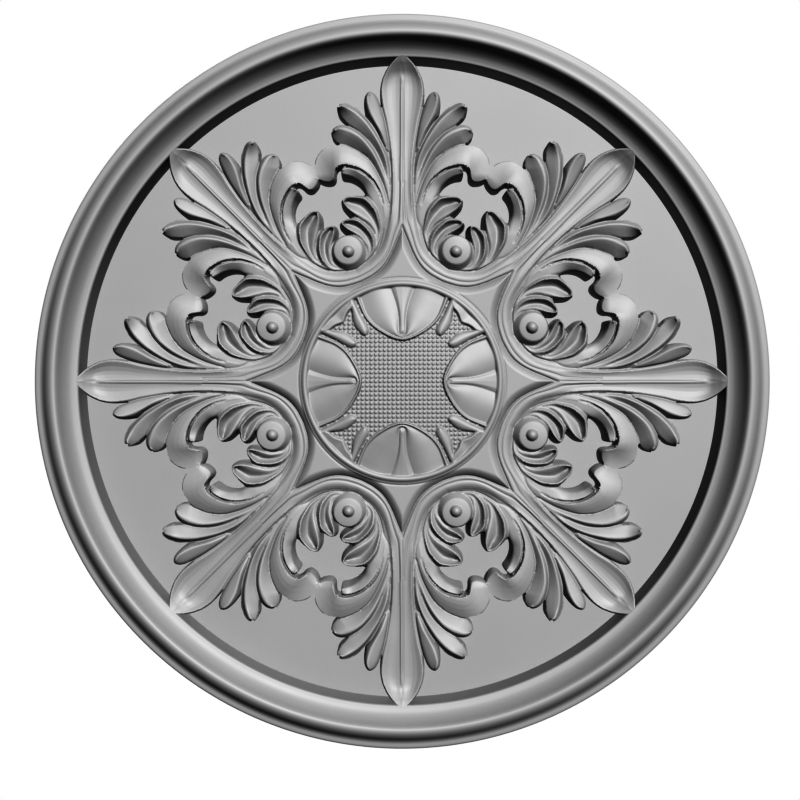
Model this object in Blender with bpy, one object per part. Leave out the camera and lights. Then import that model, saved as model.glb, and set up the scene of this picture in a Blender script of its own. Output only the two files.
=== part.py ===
"""Ceiling rose: a round cast plaster rose with eight petals, scrolling leaves and a diapered centre.

The carving is laid out in units on a plate of radius 356.1 and scaled to the real diameter.
One half repeat (a half petal and its leaves) is triangulated over its guide rails, mirrored
and turned round the centre; the moulded frame is turned from its profile. The rose is made
as it hangs: back against the ceiling at the origin, face down.
"""
import bpy
import bmesh
from mathutils import Vector
from mathutils.geometry import delaunay_2d_cdt

import math
import numpy as np

# ---------------------------------------------------------------- named sizes
DIAMETER = 0.800                 # over the outer moulding, metres
UNIT = DIAMETER / 2.0 / 356.1    # the carving is laid out on a plate of radius 356.1 units
BACKING = 10.0                   # plate thickness behind the sunk ground
FACE = 25.0                      # top of the leafwork above the ground
SIGHT = 1255.0                   # reading distance of the layout drawing, units
PETALS = 8
HALF = math.pi / PETALS          # half a repeat

# moulded frame: (radius, height above the ground)
FRAME = [(315.4, 0.0), (315.4, 31.0), (316.2, 33.0), (319.0, 33.9), (322.6, 35.7),
         (325.7, 38.6), (328.5, 42.5), (330.4, 46.0), (332.0, 49.3), (333.6, 51.4),
         (335.6, 52.1), (338.0, 51.8), (340.6, 50.4), (343.4, 47.8), (346.0, 44.3),
         (348.0, 41.9), (350.3, 40.4), (353.3, 40.0), (355.2, 39.6), (356.1, 38.4)]


def plan(u, v, z):
    """The layout drawing is read from SIGHT away: a point z above the face plane moves inwards."""
    k = (SIGHT - FACE - z) / SIGHT
    return (u * k, v * k, z)


def spline(points, n):
    """Catmull-Rom curve through the points, n samples spread evenly over the spans."""
    p = np.asarray(points, float)
    p = np.vstack([2 * p[0] - p[1], p, 2 * p[-1] - p[-2]])
    t = np.linspace(0, len(p) - 3, n)
    i = np.minimum(t.astype(int), len(p) - 4)
    s = (t - i)[:, None]
    a, b, c, d = p[i], p[i + 1], p[i + 2], p[i + 3]
    return 0.5 * (2 * b + (c - a) * s + (2 * a - 5 * b + 4 * c - d) * s ** 2
                  + (3 * b - a - 3 * c + d) * s ** 3)


def even(points, n):
    """The spline with its samples spread evenly along its length."""
    fine = spline(points, 40 * len(points))
    d = np.r_[0, np.cumsum(np.linalg.norm(np.diff(fine[:, :2], axis=0), axis=1))]
    s = np.linspace(0, d[-1], n)
    return np.stack([np.interp(s, d, fine[:, k]) for k in range(fine.shape[1])], 1)


# section shapes across a leaf: share of the width against share of the rise
STEEP = [(0, 0), (0.12, 0.26), (0.25, 0.50), (0.45, 0.68), (0.7, 0.86), (0.9, 0.98), (1, 1)]
ROLL = [(0, 0), (0.2, 0.34), (0.45, 0.68), (0.7, 0.90), (1, 1)]
EASY = [(0, 1), (0.12, 0.985), (0.35, 0.78), (0.6, 0.5), (0.82, 0.24), (1, 0)]
DOME = [(0, 1), (0.15, 0.985), (0.35, 0.88), (0.6, 0.62), (0.82, 0.30), (1, 0)]
LINE = [(0, 0), (1, 1)]
SIDE = [(0, 0), (0.1, 0.12), (0.7, 0.86), (0.86, 0.97), (1, 1)]
LIP = [(0, 0), (0.3, 0.1), (0.45, 0.3), (0.82, 0.88), (1, 1)]
HOLLOW = [(0, 0), (0.25, -0.16), (0.45, -0.12), (0.7, 0.24), (0.9, 0.8), (1, 1)]
COVE = [(0, 0), (0.3, 0.12), (0.6, 0.42), (0.85, 0.82), (1, 1)]

# Leaves. Rails run from root to tip as (u, v, z): u out along the petal, v to its side.
LEAVES = {
    "leaf_1": dict(
        sides=("STEEP", "FALL"),
        foot=[(230, 13.2, -.2), (240, 13.7, -.2), (250, 15.2, -.4), (262, 17.6, -.4),
              (272, 20.6, -.2), (281, 23.5, -.2), (287, 27.0, -.2), (289.8, 31.5, -.2), (288.9, 35.0, -.5)],
        crest=[(231, 15.5, .3), (240, 17.6, 2.8), (250, 21.5, 5.1), (260, 27.2, 6.3),
               (270, 32.0, 7.5), (279, 34.7, 8.6), (284.5, 34.3, 8.8), (287.0, 32.6, 7.6), (287.2, 32.6, 7.0)],
        edge=[(233, 16.4, .0), (240, 20.3, .6), (250, 25.2, .6), (259, 31.0, -1),
              (267, 36.4, -1), (277, 38.5, -1), (284.5, 37.6, -1), (288.4, 35.3, -1), (289.0, 34.6, -1)]),
    "leaf_2": dict(
        sides=("LIP", "SLOPE"),
        foot=[(184, 11.6, .8), (192, 11.8, 1.3), (200, 12.2, 1.4), (210, 11.8, .6), (220, 12.8, -.4), (230, 16.0, -.5), (240, 20.2, -.8),
              (250, 25.0, -1.6), (258, 30.2, -2.2), (266, 37.0, -2.6), (273, 44.5, -2.8), (277.6, 52.0, -2.8),
              (278.2, 58.0, -2.4), (276.2, 62.8, -2.0)],
        crest=[(184, 12.6, .9), (192, 13.2, 1.5), (200, 14.0, 1.7), (210, 14.3, 2.3), (220, 16.0, 3.4), (230, 19.3, 4.1), (240, 24.0, 4.5),
               (249.4, 29.8, 4.7), (257.6, 35.4, 4.9), (265.0, 42.2, 5.0), (269.8, 48.4, 5.2), (273.0, 55.0, 5.6),
               (274.2, 59.4, 5.8), (272.6, 62.3, 5.4)],
        edge=[(184, 13.6, .9), (192, 14.6, 1.5), (200, 15.6, 1.7), (210, 17.2, 1.0), (220, 20.4, .0), (230, 25.4, -.6), (240, 32.5, -.4),
              (248, 41.0, -.6), (254, 50.0, -.6), (257.6, 55.4, -1.0), (261.8, 59.4, -1.4), (266.4, 62.8, -1.8),
              (270.5, 65.0, -2.0), (274.0, 65.0, -2.2)]),
    "leaf_3": dict(
        sides=("SIDE", "SLOPE"),
        foot=[(172, 11.8, .8), (181, 12.0, 1.4), (190, 12.4, 1.7), (200, 12.9, 1.6), (210, 17.1, .6), (220, 20.4, -.8), (230, 25.3, -1.6),
              (240, 32.3, -1.8), (249, 42.0, -2.0), (254, 50.0, -2.2), (256.6, 57.0, -2.4), (256.6, 63.0, -2.4),
              (254.6, 67.6, -2.2), (251.4, 70.6, -2.2)],
        crest=[(172, 12.8, .9), (181, 13.4, 1.6), (190, 14.5, 1.9), (200, 17.0, 2.1), (210, 20.6, 2.9), (220, 24.9, 3.8), (230, 30.4, 5.1),
               (241.6, 39.2, 6.4), (248.2, 47.8, 6.8), (251.4, 55.2, 6.6), (252.8, 61.5, 6.0), (252.0, 65.8, 5.0),
               (250.2, 67.8, 4.2), (249.4, 68.4, 3.8)],
        edge=[(172, 13.6, .9), (181, 14.4, 1.4), (190, 15.6, 1.6), (200, 19.9, .4), (210, 25.0, -.2), (220, 31.3, -.6), (228, 40.0, -.8),
              (233.5, 49.0, -.9), (236.0, 57.0, -1.2), (237.0, 62.6, -1.6), (238.6, 65.8, -2.4), (242.0, 68.9, -3.0),
              (246.0, 70.9, -3.4), (249.6, 71.4, -3.2)]),
    "hook": dict(
        sides=("ROLL", "DOME"),
        foot=[(152, 15.6, .4), (166, 17.0, 1.9), (180, 19.4, 3.0), (190, 22.8, 1.6), (200, 28.2, -2), (207, 33.9, -5), (211.8, 41.0, -8),
              (214.2, 50.0, -10), (215.0, 57.0, -12), (214.6, 62.0, -12), (211.6, 65.4, -12), (206.0, 66.8, -12),
              (201.0, 67.4, -12), (198.0, 70.8, -12), (197.6, 77.0, -12), (199.8, 84.0, -12), (201.4, 88.0, -12)],
        crest=[(152, 16.4, .5), (166, 18.0, 2.1), (180, 20.6, 3.2), (190, 24.0, 3.9), (200, 29.2, 4.3), (208, 35.4, 4.8), (213.4, 43.2, 5.2),
               (216.2, 50.6, 5.6), (217.4, 57.0, 6.0), (217.0, 63.5, 6.0), (213.4, 68.0, 5.2), (207.0, 69.8, 3.8),
               (203.0, 70.6, 2.8), (200.6, 73.4, 1.6), (200.8, 78.0, .6), (202.8, 84.0, .2), (204.0, 88.0, .1)],
        edge=[(152, 12.2, .4), (166, 12.8, 1.4), (180, 14.0, 1.6), (190, 16.0, 1.0), (200, 20.0, .4), (210, 25.0, .1), (220, 31.5, 0),
              (226, 38.0, .1), (231, 46.0, .3), (234.6, 54.0, .4), (236.6, 62.0, .2), (236.2, 70.0, .1),
              (233.6, 77.5, .1), (229.0, 82.8, 0), (222.0, 86.8, 0), (214.0, 88.4, 0), (208.0, 89.0, 0)]),
    "curl": dict(
        sides=("ROLL", "FALL2"),
        foot=[(150, 15.8, .1), (160, 16.6, 1.1), (170, 18.0, 1.9), (182, 20.6, 2.4), (190, 23.0, 1.2), (198, 27.6, -1), (205.4, 33.8, -4),
              (210.6, 41.2, -7), (213.4, 48.6, -9), (214.2, 54.0, -10), (213.6, 58.0, -10), (211.0, 61.0, -10)],
        crest=[(150, 16.4, .1), (160, 17.4, 1.3), (170, 18.6, 2.2), (182, 21.4, 2.9), (190, 24.6, 2.8), (198, 29.4, 3.2), (204.4, 36.0, 4.0),
               (208.8, 42.6, 4.8), (211.4, 49.0, 5.4), (211.8, 54.0, 5.8), (210.6, 57.4, 5.4), (207.6, 59.2, 3.6)],
        edge=[(148, 21.0, -.6), (157, 24.4, -.5), (168, 27.6, -.4), (180, 31.6, -.4), (186.6, 35.8, -.6),
              (192, 38.2, -.8), (197, 41.6, -.8), (200.9, 46.0, -.8), (203.4, 50.4, -.8), (204.8, 54.4, -.6),
              (206.2, 58.0, -.4), (208, 60.4, -.2)]),
}
# two hollow leaves beside the eye: outer foot, outer crest, hollow, inner rim, inner foot
CUPS = {
    "cup_1": dict(
        foot=[(123, 30.9, -.4), (129, 27.0, -.2), (139, 22.9, .1), (150, 20.8, .2), (160, 21.4, .0),
              (170, 23.4, .0), (178, 27.4, -.2), (183, 32.6, -.2), (185.4, 37.6, -.2), (186, 42.6, -.2),
              (185.8, 47.6, -.2), (185, 52.8, -.2), (184, 56.6, -.2), (183.2, 59.4, -.2)],
        crest=[(123.4, 31.6, -.3), (129.8, 28.0, .3), (140, 24.2, .8), (150, 22.6, 1.4), (160, 23.8, 2.8),
               (168.4, 27.2, 4.6), (174.4, 31.6, 5.9), (179.2, 35.6, 6.5), (182.2, 39.6, 6.8), (183.8, 44.2, 6.9),
               (184.3, 49.0, 7.0), (183.9, 53.2, 7.1), (183.1, 56.4, 7.1), (182.6, 59.0, 7.0)],
        hollow=[(124, 32.2, -.4), (130.6, 29.0, .0), (140.6, 25.8, .1), (150, 24.8, .0), (158.6, 27.4, -.2),
                (164.8, 31.4, -.8), (169.0, 34.8, -1.6), (173.0, 38.6, -2.2), (175.4, 42.0, -2.5),
                (176.8, 46.0, -2.5), (177.8, 50.4, -1.6), (179.0, 54.6, .6), (180.4, 57.4, 3.4), (182.2, 59.3, 6.6)],
        rim=[(124.4, 32.6, -.4), (131, 29.8, .1), (140.6, 27.0, .3), (149, 26.4, .5), (156, 30.0, 1.2),
             (160.4, 34.4, 2.2), (163.4, 39.0, 3.0), (165.6, 43.0, 3.6), (167.6, 47.0, 4.0), (169.8, 50.6, 4.4),
             (172.6, 53.9, 4.8), (175.8, 56.2, 5.2), (179.6, 58.3, 6.0), (182.0, 59.6, 6.6)],
        edge=[(124.8, 33.2, -.5), (131.2, 30.8, -.4), (140, 28.2, -.3), (148, 27.8, -.3), (154, 31.6, -.3),
              (158, 36.4, -.3), (160.6, 41.6, -.3), (162.4, 46.0, -3), (163.4, 50.2, -10), (164.6, 53.2, -20),
              (167.9, 57.0, -24), (173.5, 60.1, -24), (179, 61.1, -24), (182.6, 60.4, -16)]),
    "cup_2": dict(
        foot=[(119, 36.5, -.4), (122.6, 31.6, -.1), (128, 27.6, .2), (136, 25.8, .2), (145, 27.4, .0),
              (153, 31.8, -.2), (159, 38.0, -.2), (163.6, 44.0, -.2), (164.2, 49.0, -.2), (163, 53.6, -.2),
              (161.4, 57.6, -.2), (159.8, 61.0, -.2)],
        crest=[(120.4, 37.6, -.3), (124.4, 33.2, .5), (130, 29.8, 1.6), (137, 29.2, 3.2), (145, 32.0, 4.2),
               (151, 36.2, 4.8), (155.4, 40.6, 5.2), (158.8, 45.0, 5.5), (160.4, 49.4, 5.8), (160.6, 53.2, 6.0),
               (160.0, 57.0, 6.2), (159.2, 60.6, 6.2)],
        hollow=[(121.4, 38.4, -.4), (126, 34.8, .0), (131, 31.8, .3), (137, 32.2, .3), (143, 34.6, -.4),
                (147.6, 38.0, -1.0), (151, 41.2, -1.6), (153.8, 45.0, -1.8), (155.4, 49.0, -1.6), (156.6, 53.0, -.4),
                (157.4, 57.0, 2.2), (158.7, 60.6, 5.6)],
        rim=[(122, 39.2, -.4), (126.2, 35.8, .1), (130, 33.4, .7), (134.4, 33.6, 1.2), (138.4, 36.0, 1.8),
             (142, 38.6, 2.4), (144.8, 41.2, 2.8), (146.8, 44.6, 3.2), (148.8, 48.6, 3.6), (151.4, 53.0, 4.2),
             (154.6, 57.4, 4.8), (158.3, 60.8, 5.6)],
        edge=[(122.6, 40.0, -.5), (126, 37.2, -.4), (129, 35.8, -.3), (133.4, 36.4, -.3), (136.8, 39.0, -.3),
              (139.6, 42.2, -.3), (141.8, 46.0, -4), (143.6, 50.0, -12), (145.4, 53.4, -20), (148.0, 57.8, -24),
              (153.0, 62.2, -24), (158.1, 62.6, -20)]),
}
# petal and the bands that join the petals inside the eyes:
# (axis or groove), inner step, rim, outer foot, with the height of each
BANDS = [
    ((99.6, 41.3, 3.5), (103.8, 43.0, 3.1), (110.2, 45.6, 1.1), (112.3, 46.5, -.2)),
    ((102.5, 35.5, 3.5), (106.8, 37.0, 3.1), (114.4, 39.2, 1.1), (116.8, 40.2, -.2)),
    ((106.5, 28.5, 3.5), (111.0, 30.0, 3.1), (119.2, 32.4, 1.1), (121.4, 34.0, -.2)),
    ((112.5, 21.3, 3.6), (117.0, 23.0, 3.1), (126.6, 25.4, 1.2), (129.0, 27.2, -.2)),
    ((120.0, 15.6, 3.7), (124.0, 17.4, 3.2), (134.0, 20.6, 1.3), (137.0, 22.8, .0)),
    ((130.0, 10.4, 3.8), (133.0, 13.2, 3.3), (143.0, 17.0, 1.5), (146.0, 20.0, .2)),
    ((141.0, 5.9, 3.9), (144.0, 10.0, 3.4), (152.0, 14.6, 1.9), (154.0, 18.0, .6)),
    ((150.0, 2.2, 4.0), (153.0, 7.2, 3.4), (160.0, 12.6, 2.5), (161.0, 15.0, 1.0)),
    ((156.0, 0.0, 4.1), (161.0, 4.6, 3.2), (167.0, 11.2, 3.2), (168.0, 13.4, 1.6)),
    ((168.0, 0.0, 4.3), (171.0, 3.6, 3.0), (176.0, 10.4, 3.7), (176.5, 12.4, 1.8)),
    ((185.0, 0.0, 4.1), (185.0, 2.8, 2.5), (185.0, 9.8, 3.8), (185.0, 11.8, 1.8)),
    ((200.0, 0.0, 3.2), (200.0, 2.6, 1.7), (200.0, 9.4, 3.1), (200.0, 11.4, 1.6)),
    ((220.0, 0.0, 1.7), (220.0, 2.4, .3), (220.0, 10.2, 1.4), (220.0, 12.2, -.2)),
    ((240.0, 0.0, .5), (240.0, 2.2, -1.0), (240.0, 12.0, .1), (240.0, 13.7, -.3)),
    ((260.0, 0.0, .0), (260.0, 2.2, -1.5), (260.0, 15.2, .2), (260.0, 17.2, -.3)),
    ((275.0, 0.0, -.4), (275.0, 2.2, -1.9), (275.0, 18.8, .5), (275.0, 20.8, -.4)),
    ((290.0, 0.0, -1.0), (290.0, 2.0, -2.2), (290.0, 20.9, .9), (290.0, 22.4, -.4)),
    ((300.0, 0.0, -1.1), (300.0, 1.8, -2.0), (300.0, 19.6, 1.4), (300.0, 21.0, -.2)),
    ((308.0, 0.0, -.9), (308.0, 1.6, -.7), (308.0, 16.4, 2.5), (308.5, 17.8, 1.0)),
    ((315.0, 0.0, 2.6), (315.0, 1.4, 2.7), (315.0, 12.5, 4.2), (315.8, 13.6, 2.6)),
    ((320.5, 0.0, 6.2), (320.5, 1.0, 6.0), (320.8, 8.0, 6.4), (321.4, 8.8, 5.2)),
    ((327.4, 0.0, 9.4), (327.4, 0.4, 9.4), (327.4, 1.6, 9.0), (327.6, 2.4, 8.6)),
]
# free edges in plan, where the leafwork drops to the ground
OUTER_EDGE = [(317.5, 3.0), (313.6, 7.6), (308.6, 13.1), (301.8, 17.2), (293.7, 20.4), (284.1, 21.7),
              (275.6, 21.5), (270.6, 20.8), None,
              (275.3, 23.0), (280.8, 26.7), (283.2, 30.8), (282.0, 34.2), (277.9, 36.7),
              (270.1, 37.5), (262.4, 36.2), (257.4, 32.9), (253.6, 30.6), None,
              (260.6, 36.8), (267.3, 43.6), (271.4, 50.9), (272.0, 56.8), (270.0, 61.6), (266.0, 63.8),
              (262.2, 62.6), (259.2, 60.4), (256.6, 57.6), (253.6, 54.6), (250.6, 52.6), None,
              (251.2, 56.6), (251.1, 61.0), (249.4, 65.6), (246.3, 68.6), (242.6, 69.7),
              (239.6, 68.8), (237.0, 66.9), (234.4, 64.6), (232.0, 63.2), None,
              (231.8, 66.8), (230.5, 72.5), (227.3, 77.9), (222.4, 82.3), (216.5, 85.0), (209.7, 85.6),
              (204.0, 84.5)]
# fine groove beside the inner edge of the second leaf
VEIN = [(214.0, 20.2, .6), (222.0, 23.4, .2), (232.0, 28.6, -.2), (240.0, 34.4, -.2), (247.4, 41.4, -.2), (252.8, 48.6, 0),
        (256.4, 54.4, 0), (258.6, 57.8, -.4)]
# folds between the hook and the third leaf, and behind the slot
FOLD = [(178.0, 13.8, 1.4), (190.0, 17.2, 1.2), (200.0, 20.8, .6), (210.0, 25.6, 0), (218.0, 30.4, 0), (224.0, 35.4, 0), (228.5, 41.0, 0)]
SEAM = [(176.0, 18.6, 2.0), (182.0, 20.8, 2.2), (190.0, 23.4, 2.0), (197.0, 27.0, 1.6)]
# the narrow slot between the curl and the hook, in plan
SLOT = [(189.0, 24.4), (196.0, 27.8), (202.4, 33.0), (207.6, 39.8), (210.8, 47.4), (212.2, 54.0), (211.4, 60.0)]
POCKET_EDGE = [(196.8, 81.5), (195.0, 78.0), (194.2, 74.0), (194.3, 70.0), (196.0, 67.0), (199.6, 65.3),
               (205.0, 65.1), (208.6, 63.8), (210.0, 61.4), (208.8, 59.6), None,
               (204.4, 59.6), (201.0, 59.6), (199.2, 57.6), (198.5, 53.0), (196.9, 48.2), (194.0, 43.4),
               (190.6, 39.8), (187.0, 37.3), (183.0, 36.2), None,
               (183.0, 43.0), (183.2, 49.0), (181.9, 55.3), (179.2, 58.8), (175.4, 60.1), (171.4, 59.3),
               (168.2, 57.2), (165.0, 54.4), (162.0, 51.4), (159.4, 49.4), None,
               (160.1, 53.4), (159.5, 57.4), (157.4, 60.6), (154.4, 62.0), (151.4, 61.6),
               (148.6, 59.6), (146.4, 57.2), (144.6, 54.8), (143.4, 53.0), None,
               (143.4, 55.4), (142.6, 57.4), (141.5, 58.6)]


# ---------------------------------------------------------------- relief of one half repeat
STEP = 0.5
U_LO, U_HI, V_LO, V_HI = 88.0, 326.0, -6.0, 142.0
NU = int((U_HI - U_LO) / STEP) + 1
NV = int((V_HI - V_LO) / STEP) + 1


def ramp(table, x):
    t = np.asarray(table, float)
    return np.interp(x, t[:, 0], t[:, 1])


def lay(top, x, y, z):
    """Lay a fine parametric patch on the height grid, keeping whatever is higher."""
    gi = np.gradient(np.stack([x, y, z]), axis=1)
    gj = np.gradient(np.stack([x, y, z]), axis=2)
    det = gi[0] * gj[1] - gi[1] * gj[0]
    det = np.where(np.abs(det) < 1e-6, 1e-6, det)
    zx = np.clip((gi[2] * gj[1] - gi[1] * gj[2]) / det, -8, 8)
    zy = np.clip((gi[0] * gj[2] - gi[2] * gj[0]) / det, -8, 8)
    cu = np.rint((x - U_LO) / STEP).astype(int)
    cv = np.rint((y - V_LO) / STEP).astype(int)
    ok = (cu >= 0) & (cu < NU) & (cv >= 0) & (cv < NV)
    zc = z + zx * (U_LO + cu * STEP - x) + zy * (V_LO + cv * STEP - y)
    np.maximum.at(top, (cv[ok], cu[ok]), zc[ok])


def rail(points, n):
    """A guide rail in plan; its root sinks a little so that it grows out of what lies beneath."""
    line = even([plan(*p) for p in points], n)
    line[:, 2] -= 0.9 * np.clip(1 - np.linspace(0, 1, n) / 0.12, 0, 1) ** 2
    return line


def span(a, b, shape, m):
    """Points from rail a to rail b; the height follows the section shape."""
    q = np.linspace(0, 1, m)[None, :, None]
    w = ramp(shape, q[..., 0])[..., None]
    xy = a[:, None, :2] * (1 - q) + b[:, None, :2] * q
    z = a[:, None, 2:] * (1 - w) + b[:, None, 2:] * w
    return np.moveaxis(np.concatenate([xy, z], 2), 2, 0)


def flip(shape):
    return [(a, 1 - b) for a, b in shape]


SECTIONS = {"STEEP": STEEP, "SIDE": SIDE, "LIP": LIP, "ROLL": ROLL, "SLOPE": flip(EASY), "DOME": flip(DOME),
            "FALL": [(0, 0), (0.2, 0.03), (0.4, 0.14), (0.7, 0.48), (1, 1)],
            "FALL2": [(0, 0), (0.1, 0.03), (0.35, 0.28), (0.7, 0.72), (0.88, 0.92), (1, 1)]}


def relief_grid(fine=1.0):
    top = np.full((NV, NU), -30.0)
    cups = np.full((NV, NU), -30.0)
    n, m = int(420 * fine), int(70 * fine)
    for leaf in LEAVES.values():
        foot, crest, edge = (rail(leaf[k], n) for k in ("foot", "crest", "edge"))
        lay(top, *span(foot, crest, SECTIONS[leaf["sides"][0]], m))
        lay(top, *span(crest, edge, SECTIONS[leaf["sides"][1]], m + m // 2))
    for cup in CUPS.values():
        foot, crest, hollow, rim, edge = (spline([plan(*p) for p in cup[k]], n)
                                          for k in ("foot", "crest", "hollow", "rim", "edge"))
        lay(cups, *span(foot, crest, [(0, 0), (.1, .12), (.85, .9), (1, 1)], m))
        lay(cups, *span(crest, hollow, [(0, 0), (.08, .1), (.35, .5), (.7, .85), (1, 1)], m))
        lay(cups, *span(hollow, rim, [(0, 0), (.2, .16), (.6, .72), (.85, .97), (1, 1)], m))
        lay(cups, *span(rim, edge, [(0, 0), (.2, .05), (.5, .22), (1, 1)], m))
    # petals and bands
    guides = [spline([plan(*row[k]) for row in BANDS], int(900 * fine)) for k in range(4)]
    axis, inner, rim, foot = guides
    lay(top, *span(axis, inner, [(0, 0), (0.6, 0.08), (0.85, 0.7), (1, 1)], m))
    lay(top, *span(inner, rim, HOLLOW, m))
    lay(top, *span(rim, foot, [(0, 0), (0.12, 0.5), (0.3, 0.84), (1, 1)], m))
    return np.maximum(top, cups), cups > -29.0


# ---------------------------------------------------------------- sampling
def sample(grid, x, y, lo_x, lo_y, step):
    i = np.clip((np.asarray(y) - lo_y) / step, 0, grid.shape[0] - 1.001)
    j = np.clip((np.asarray(x) - lo_x) / step, 0, grid.shape[1] - 1.001)
    i0, j0 = i.astype(int), j.astype(int)
    fi, fj = i - i0, j - j0
    return ((grid[i0, j0] * (1 - fj) + grid[i0, j0 + 1] * fj) * (1 - fi)
            + (grid[i0 + 1, j0] * (1 - fj) + grid[i0 + 1, j0 + 1] * fj) * fi)


# ---------------------------------------------------------------- centre medallion, one eighth
BOSS = dict(r=136.6, radius=17.6, top_r=138.5, top=14.0, eye_r=137.8, eye=5.6)
RING_SECTION = [(91.2, 7.4), (92.1, 9.3), (93.1, 11.2), (94.4, 12.0), (96.0, 12.0), (97.2, 11.1), (98.2, 9.7),
                (99.0, 9.3), (100.2, 9.2), (100.9, 8.1), (101.6, 8.4), (102.4, 9.4)]
CENTRE = 11.0        # level of the medallion's ring above the leafwork face
SHELL = dict(
    foot=[(40.2, -1, 3.0), (40.8, 4, 2.8), (42.4, 9.5, 2.4), (45.4, 16.0, 1.6), (49.4, 23.0, .6), (53.8, 29.2, -.4),
          (59.5, 35.2, -1.6), (66.0, 39.4, -2.4), (74.0, 43.0, -3.4), (81.0, 46.2, -4.2), (88.0, 49.4, -4.8)],
    crest=[(42.0, -1, 8.8), (42.4, 4, 8.4), (44.2, 9.5, 7.4), (47.2, 16.0, 6.2), (51.2, 22.8, 4.8), (55.8, 28.8, 3.6),
           (61.0, 33.9, 2.4), (67.2, 38.0, 1.4), (74.8, 41.3, .4), (81.8, 44.0, -.4), (89.0, 46.6, -.8)],
    inner=[(43.6, -1, 4.4), (44.2, 4, 4.2), (46.0, 9.5, 3.8), (49.0, 15.8, 3.2), (53.2, 22.3, 2.2), (57.8, 28.3, 1.2),
           (62.7, 32.5, .2), (68.6, 36.2, -.8), (75.8, 39.0, -1.8), (82.6, 41.2, -2.8), (90.0, 43.4, -3.2)],
    groove=[(44.6, -1, 4.4), (47.0, 3.0, 3.0), (51.0, 3.6, 2.3), (56.0, 3.4, 1.6), (62.0, 3.4, .9), (70.0, 4.3, -.1),
            (76.0, 5.6, -1.0), (82.0, 7.4, -1.9), (88.0, 9.6, -2.7), (94.0, 12.0, -3.3), (99.0, 14.0, -3.6)],
)
FINGER = dict(
    low=[(45.2, 36.6, -.6), (47.0, 34.2, -1), (50.4, 32.8, -1.2), (54.4, 33.8, -1.4), (60.0, 37.0, -1.8),
         (67.0, 41.2, -2.6), (75.0, 45.0, -3.4), (85.0, 49.6, -4.4)],
    crest=[(47.4, 37.6, 3.4), (48.8, 37.8, 4.2), (51.6, 38.6, 4.3), (56.0, 40.6, 3.8), (62.0, 43.6, 2.8),
           (68.5, 46.4, 1.8), (76.0, 49.6, .9), (85.0, 53.2, .0)],
    high=[(45.0, 38.0, -.4), (45.8, 39.6, -.4), (48.6, 42.8, -.5), (52.6, 46.0, -.8), (57.4, 48.6, -1.4),
          (63.5, 49.9, -2.0), (71.0, 50.9, -2.6), (80.0, 55.0, -2.0)],
)
WEB = dict(
    inner=[(57.6, 58.4, -1.6), (60.8, 57.4, -1.8), (65.4, 55.5, -2.2), (69.0, 53.2, -2.8), (71.2, 51.2, -3.2),
           (75.0, 49.0, -2.6)],
    crest=[(59.4, 60.8, .6), (62.2, 59.2, .8), (67.0, 57.5, 1.0), (71.0, 54.9, 1.2), (73.8, 52.4, 1.2),
           (78.0, 50.6, 1.0)],
    outer=[(69.5, 70.5, -2.8), (71.5, 67.5, -2.6), (74.5, 64.5, -2.2), (78.5, 60.5, -1.8), (82.0, 56.5, -1.4),
           (86.5, 52.0, -1.0)],
)
ROUND = [(0, 0), (.08, .36), (.22, .62), (.45, .85), (.72, .97), (1, 1)]
MSTEP = 0.4
M_HI, M_W = 108.0, 84.0
MU = int((M_HI + 6.0) / MSTEP) + 1
MV = int((M_W + 6.0) / MSTEP) + 1


def lay_m(top, x, y, z):
    gi = np.gradient(np.stack([x, y, z]), axis=1)
    gj = np.gradient(np.stack([x, y, z]), axis=2)
    det = gi[0] * gj[1] - gi[1] * gj[0]
    det = np.where(np.abs(det) < 1e-6, 1e-6, det)
    zx = np.clip((gi[2] * gj[1] - gi[1] * gj[2]) / det, -4, 4)
    zy = np.clip((gi[0] * gj[2] - gi[2] * gj[0]) / det, -4, 4)
    cu = np.rint((x + 6.0) / MSTEP).astype(int)
    cv = np.rint((y + 6.0) / MSTEP).astype(int)
    ok = (cu >= 0) & (cu < MU) & (cv >= 0) & (cv < MV)
    zc = z + zx * (cu * MSTEP - 6.0 - x) + zy * (cv * MSTEP - 6.0 - y)
    np.maximum.at(top, (cv[ok], cu[ok]), zc[ok])


def rail_m(points, n):
    return even([plan(p[0], p[1], p[2] + CENTRE) for p in points], n)


def bead_field(x, y):
    return CENTRE + 3.3 - 6.6 * (x * x + y * y) / 86.0 ** 2


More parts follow.
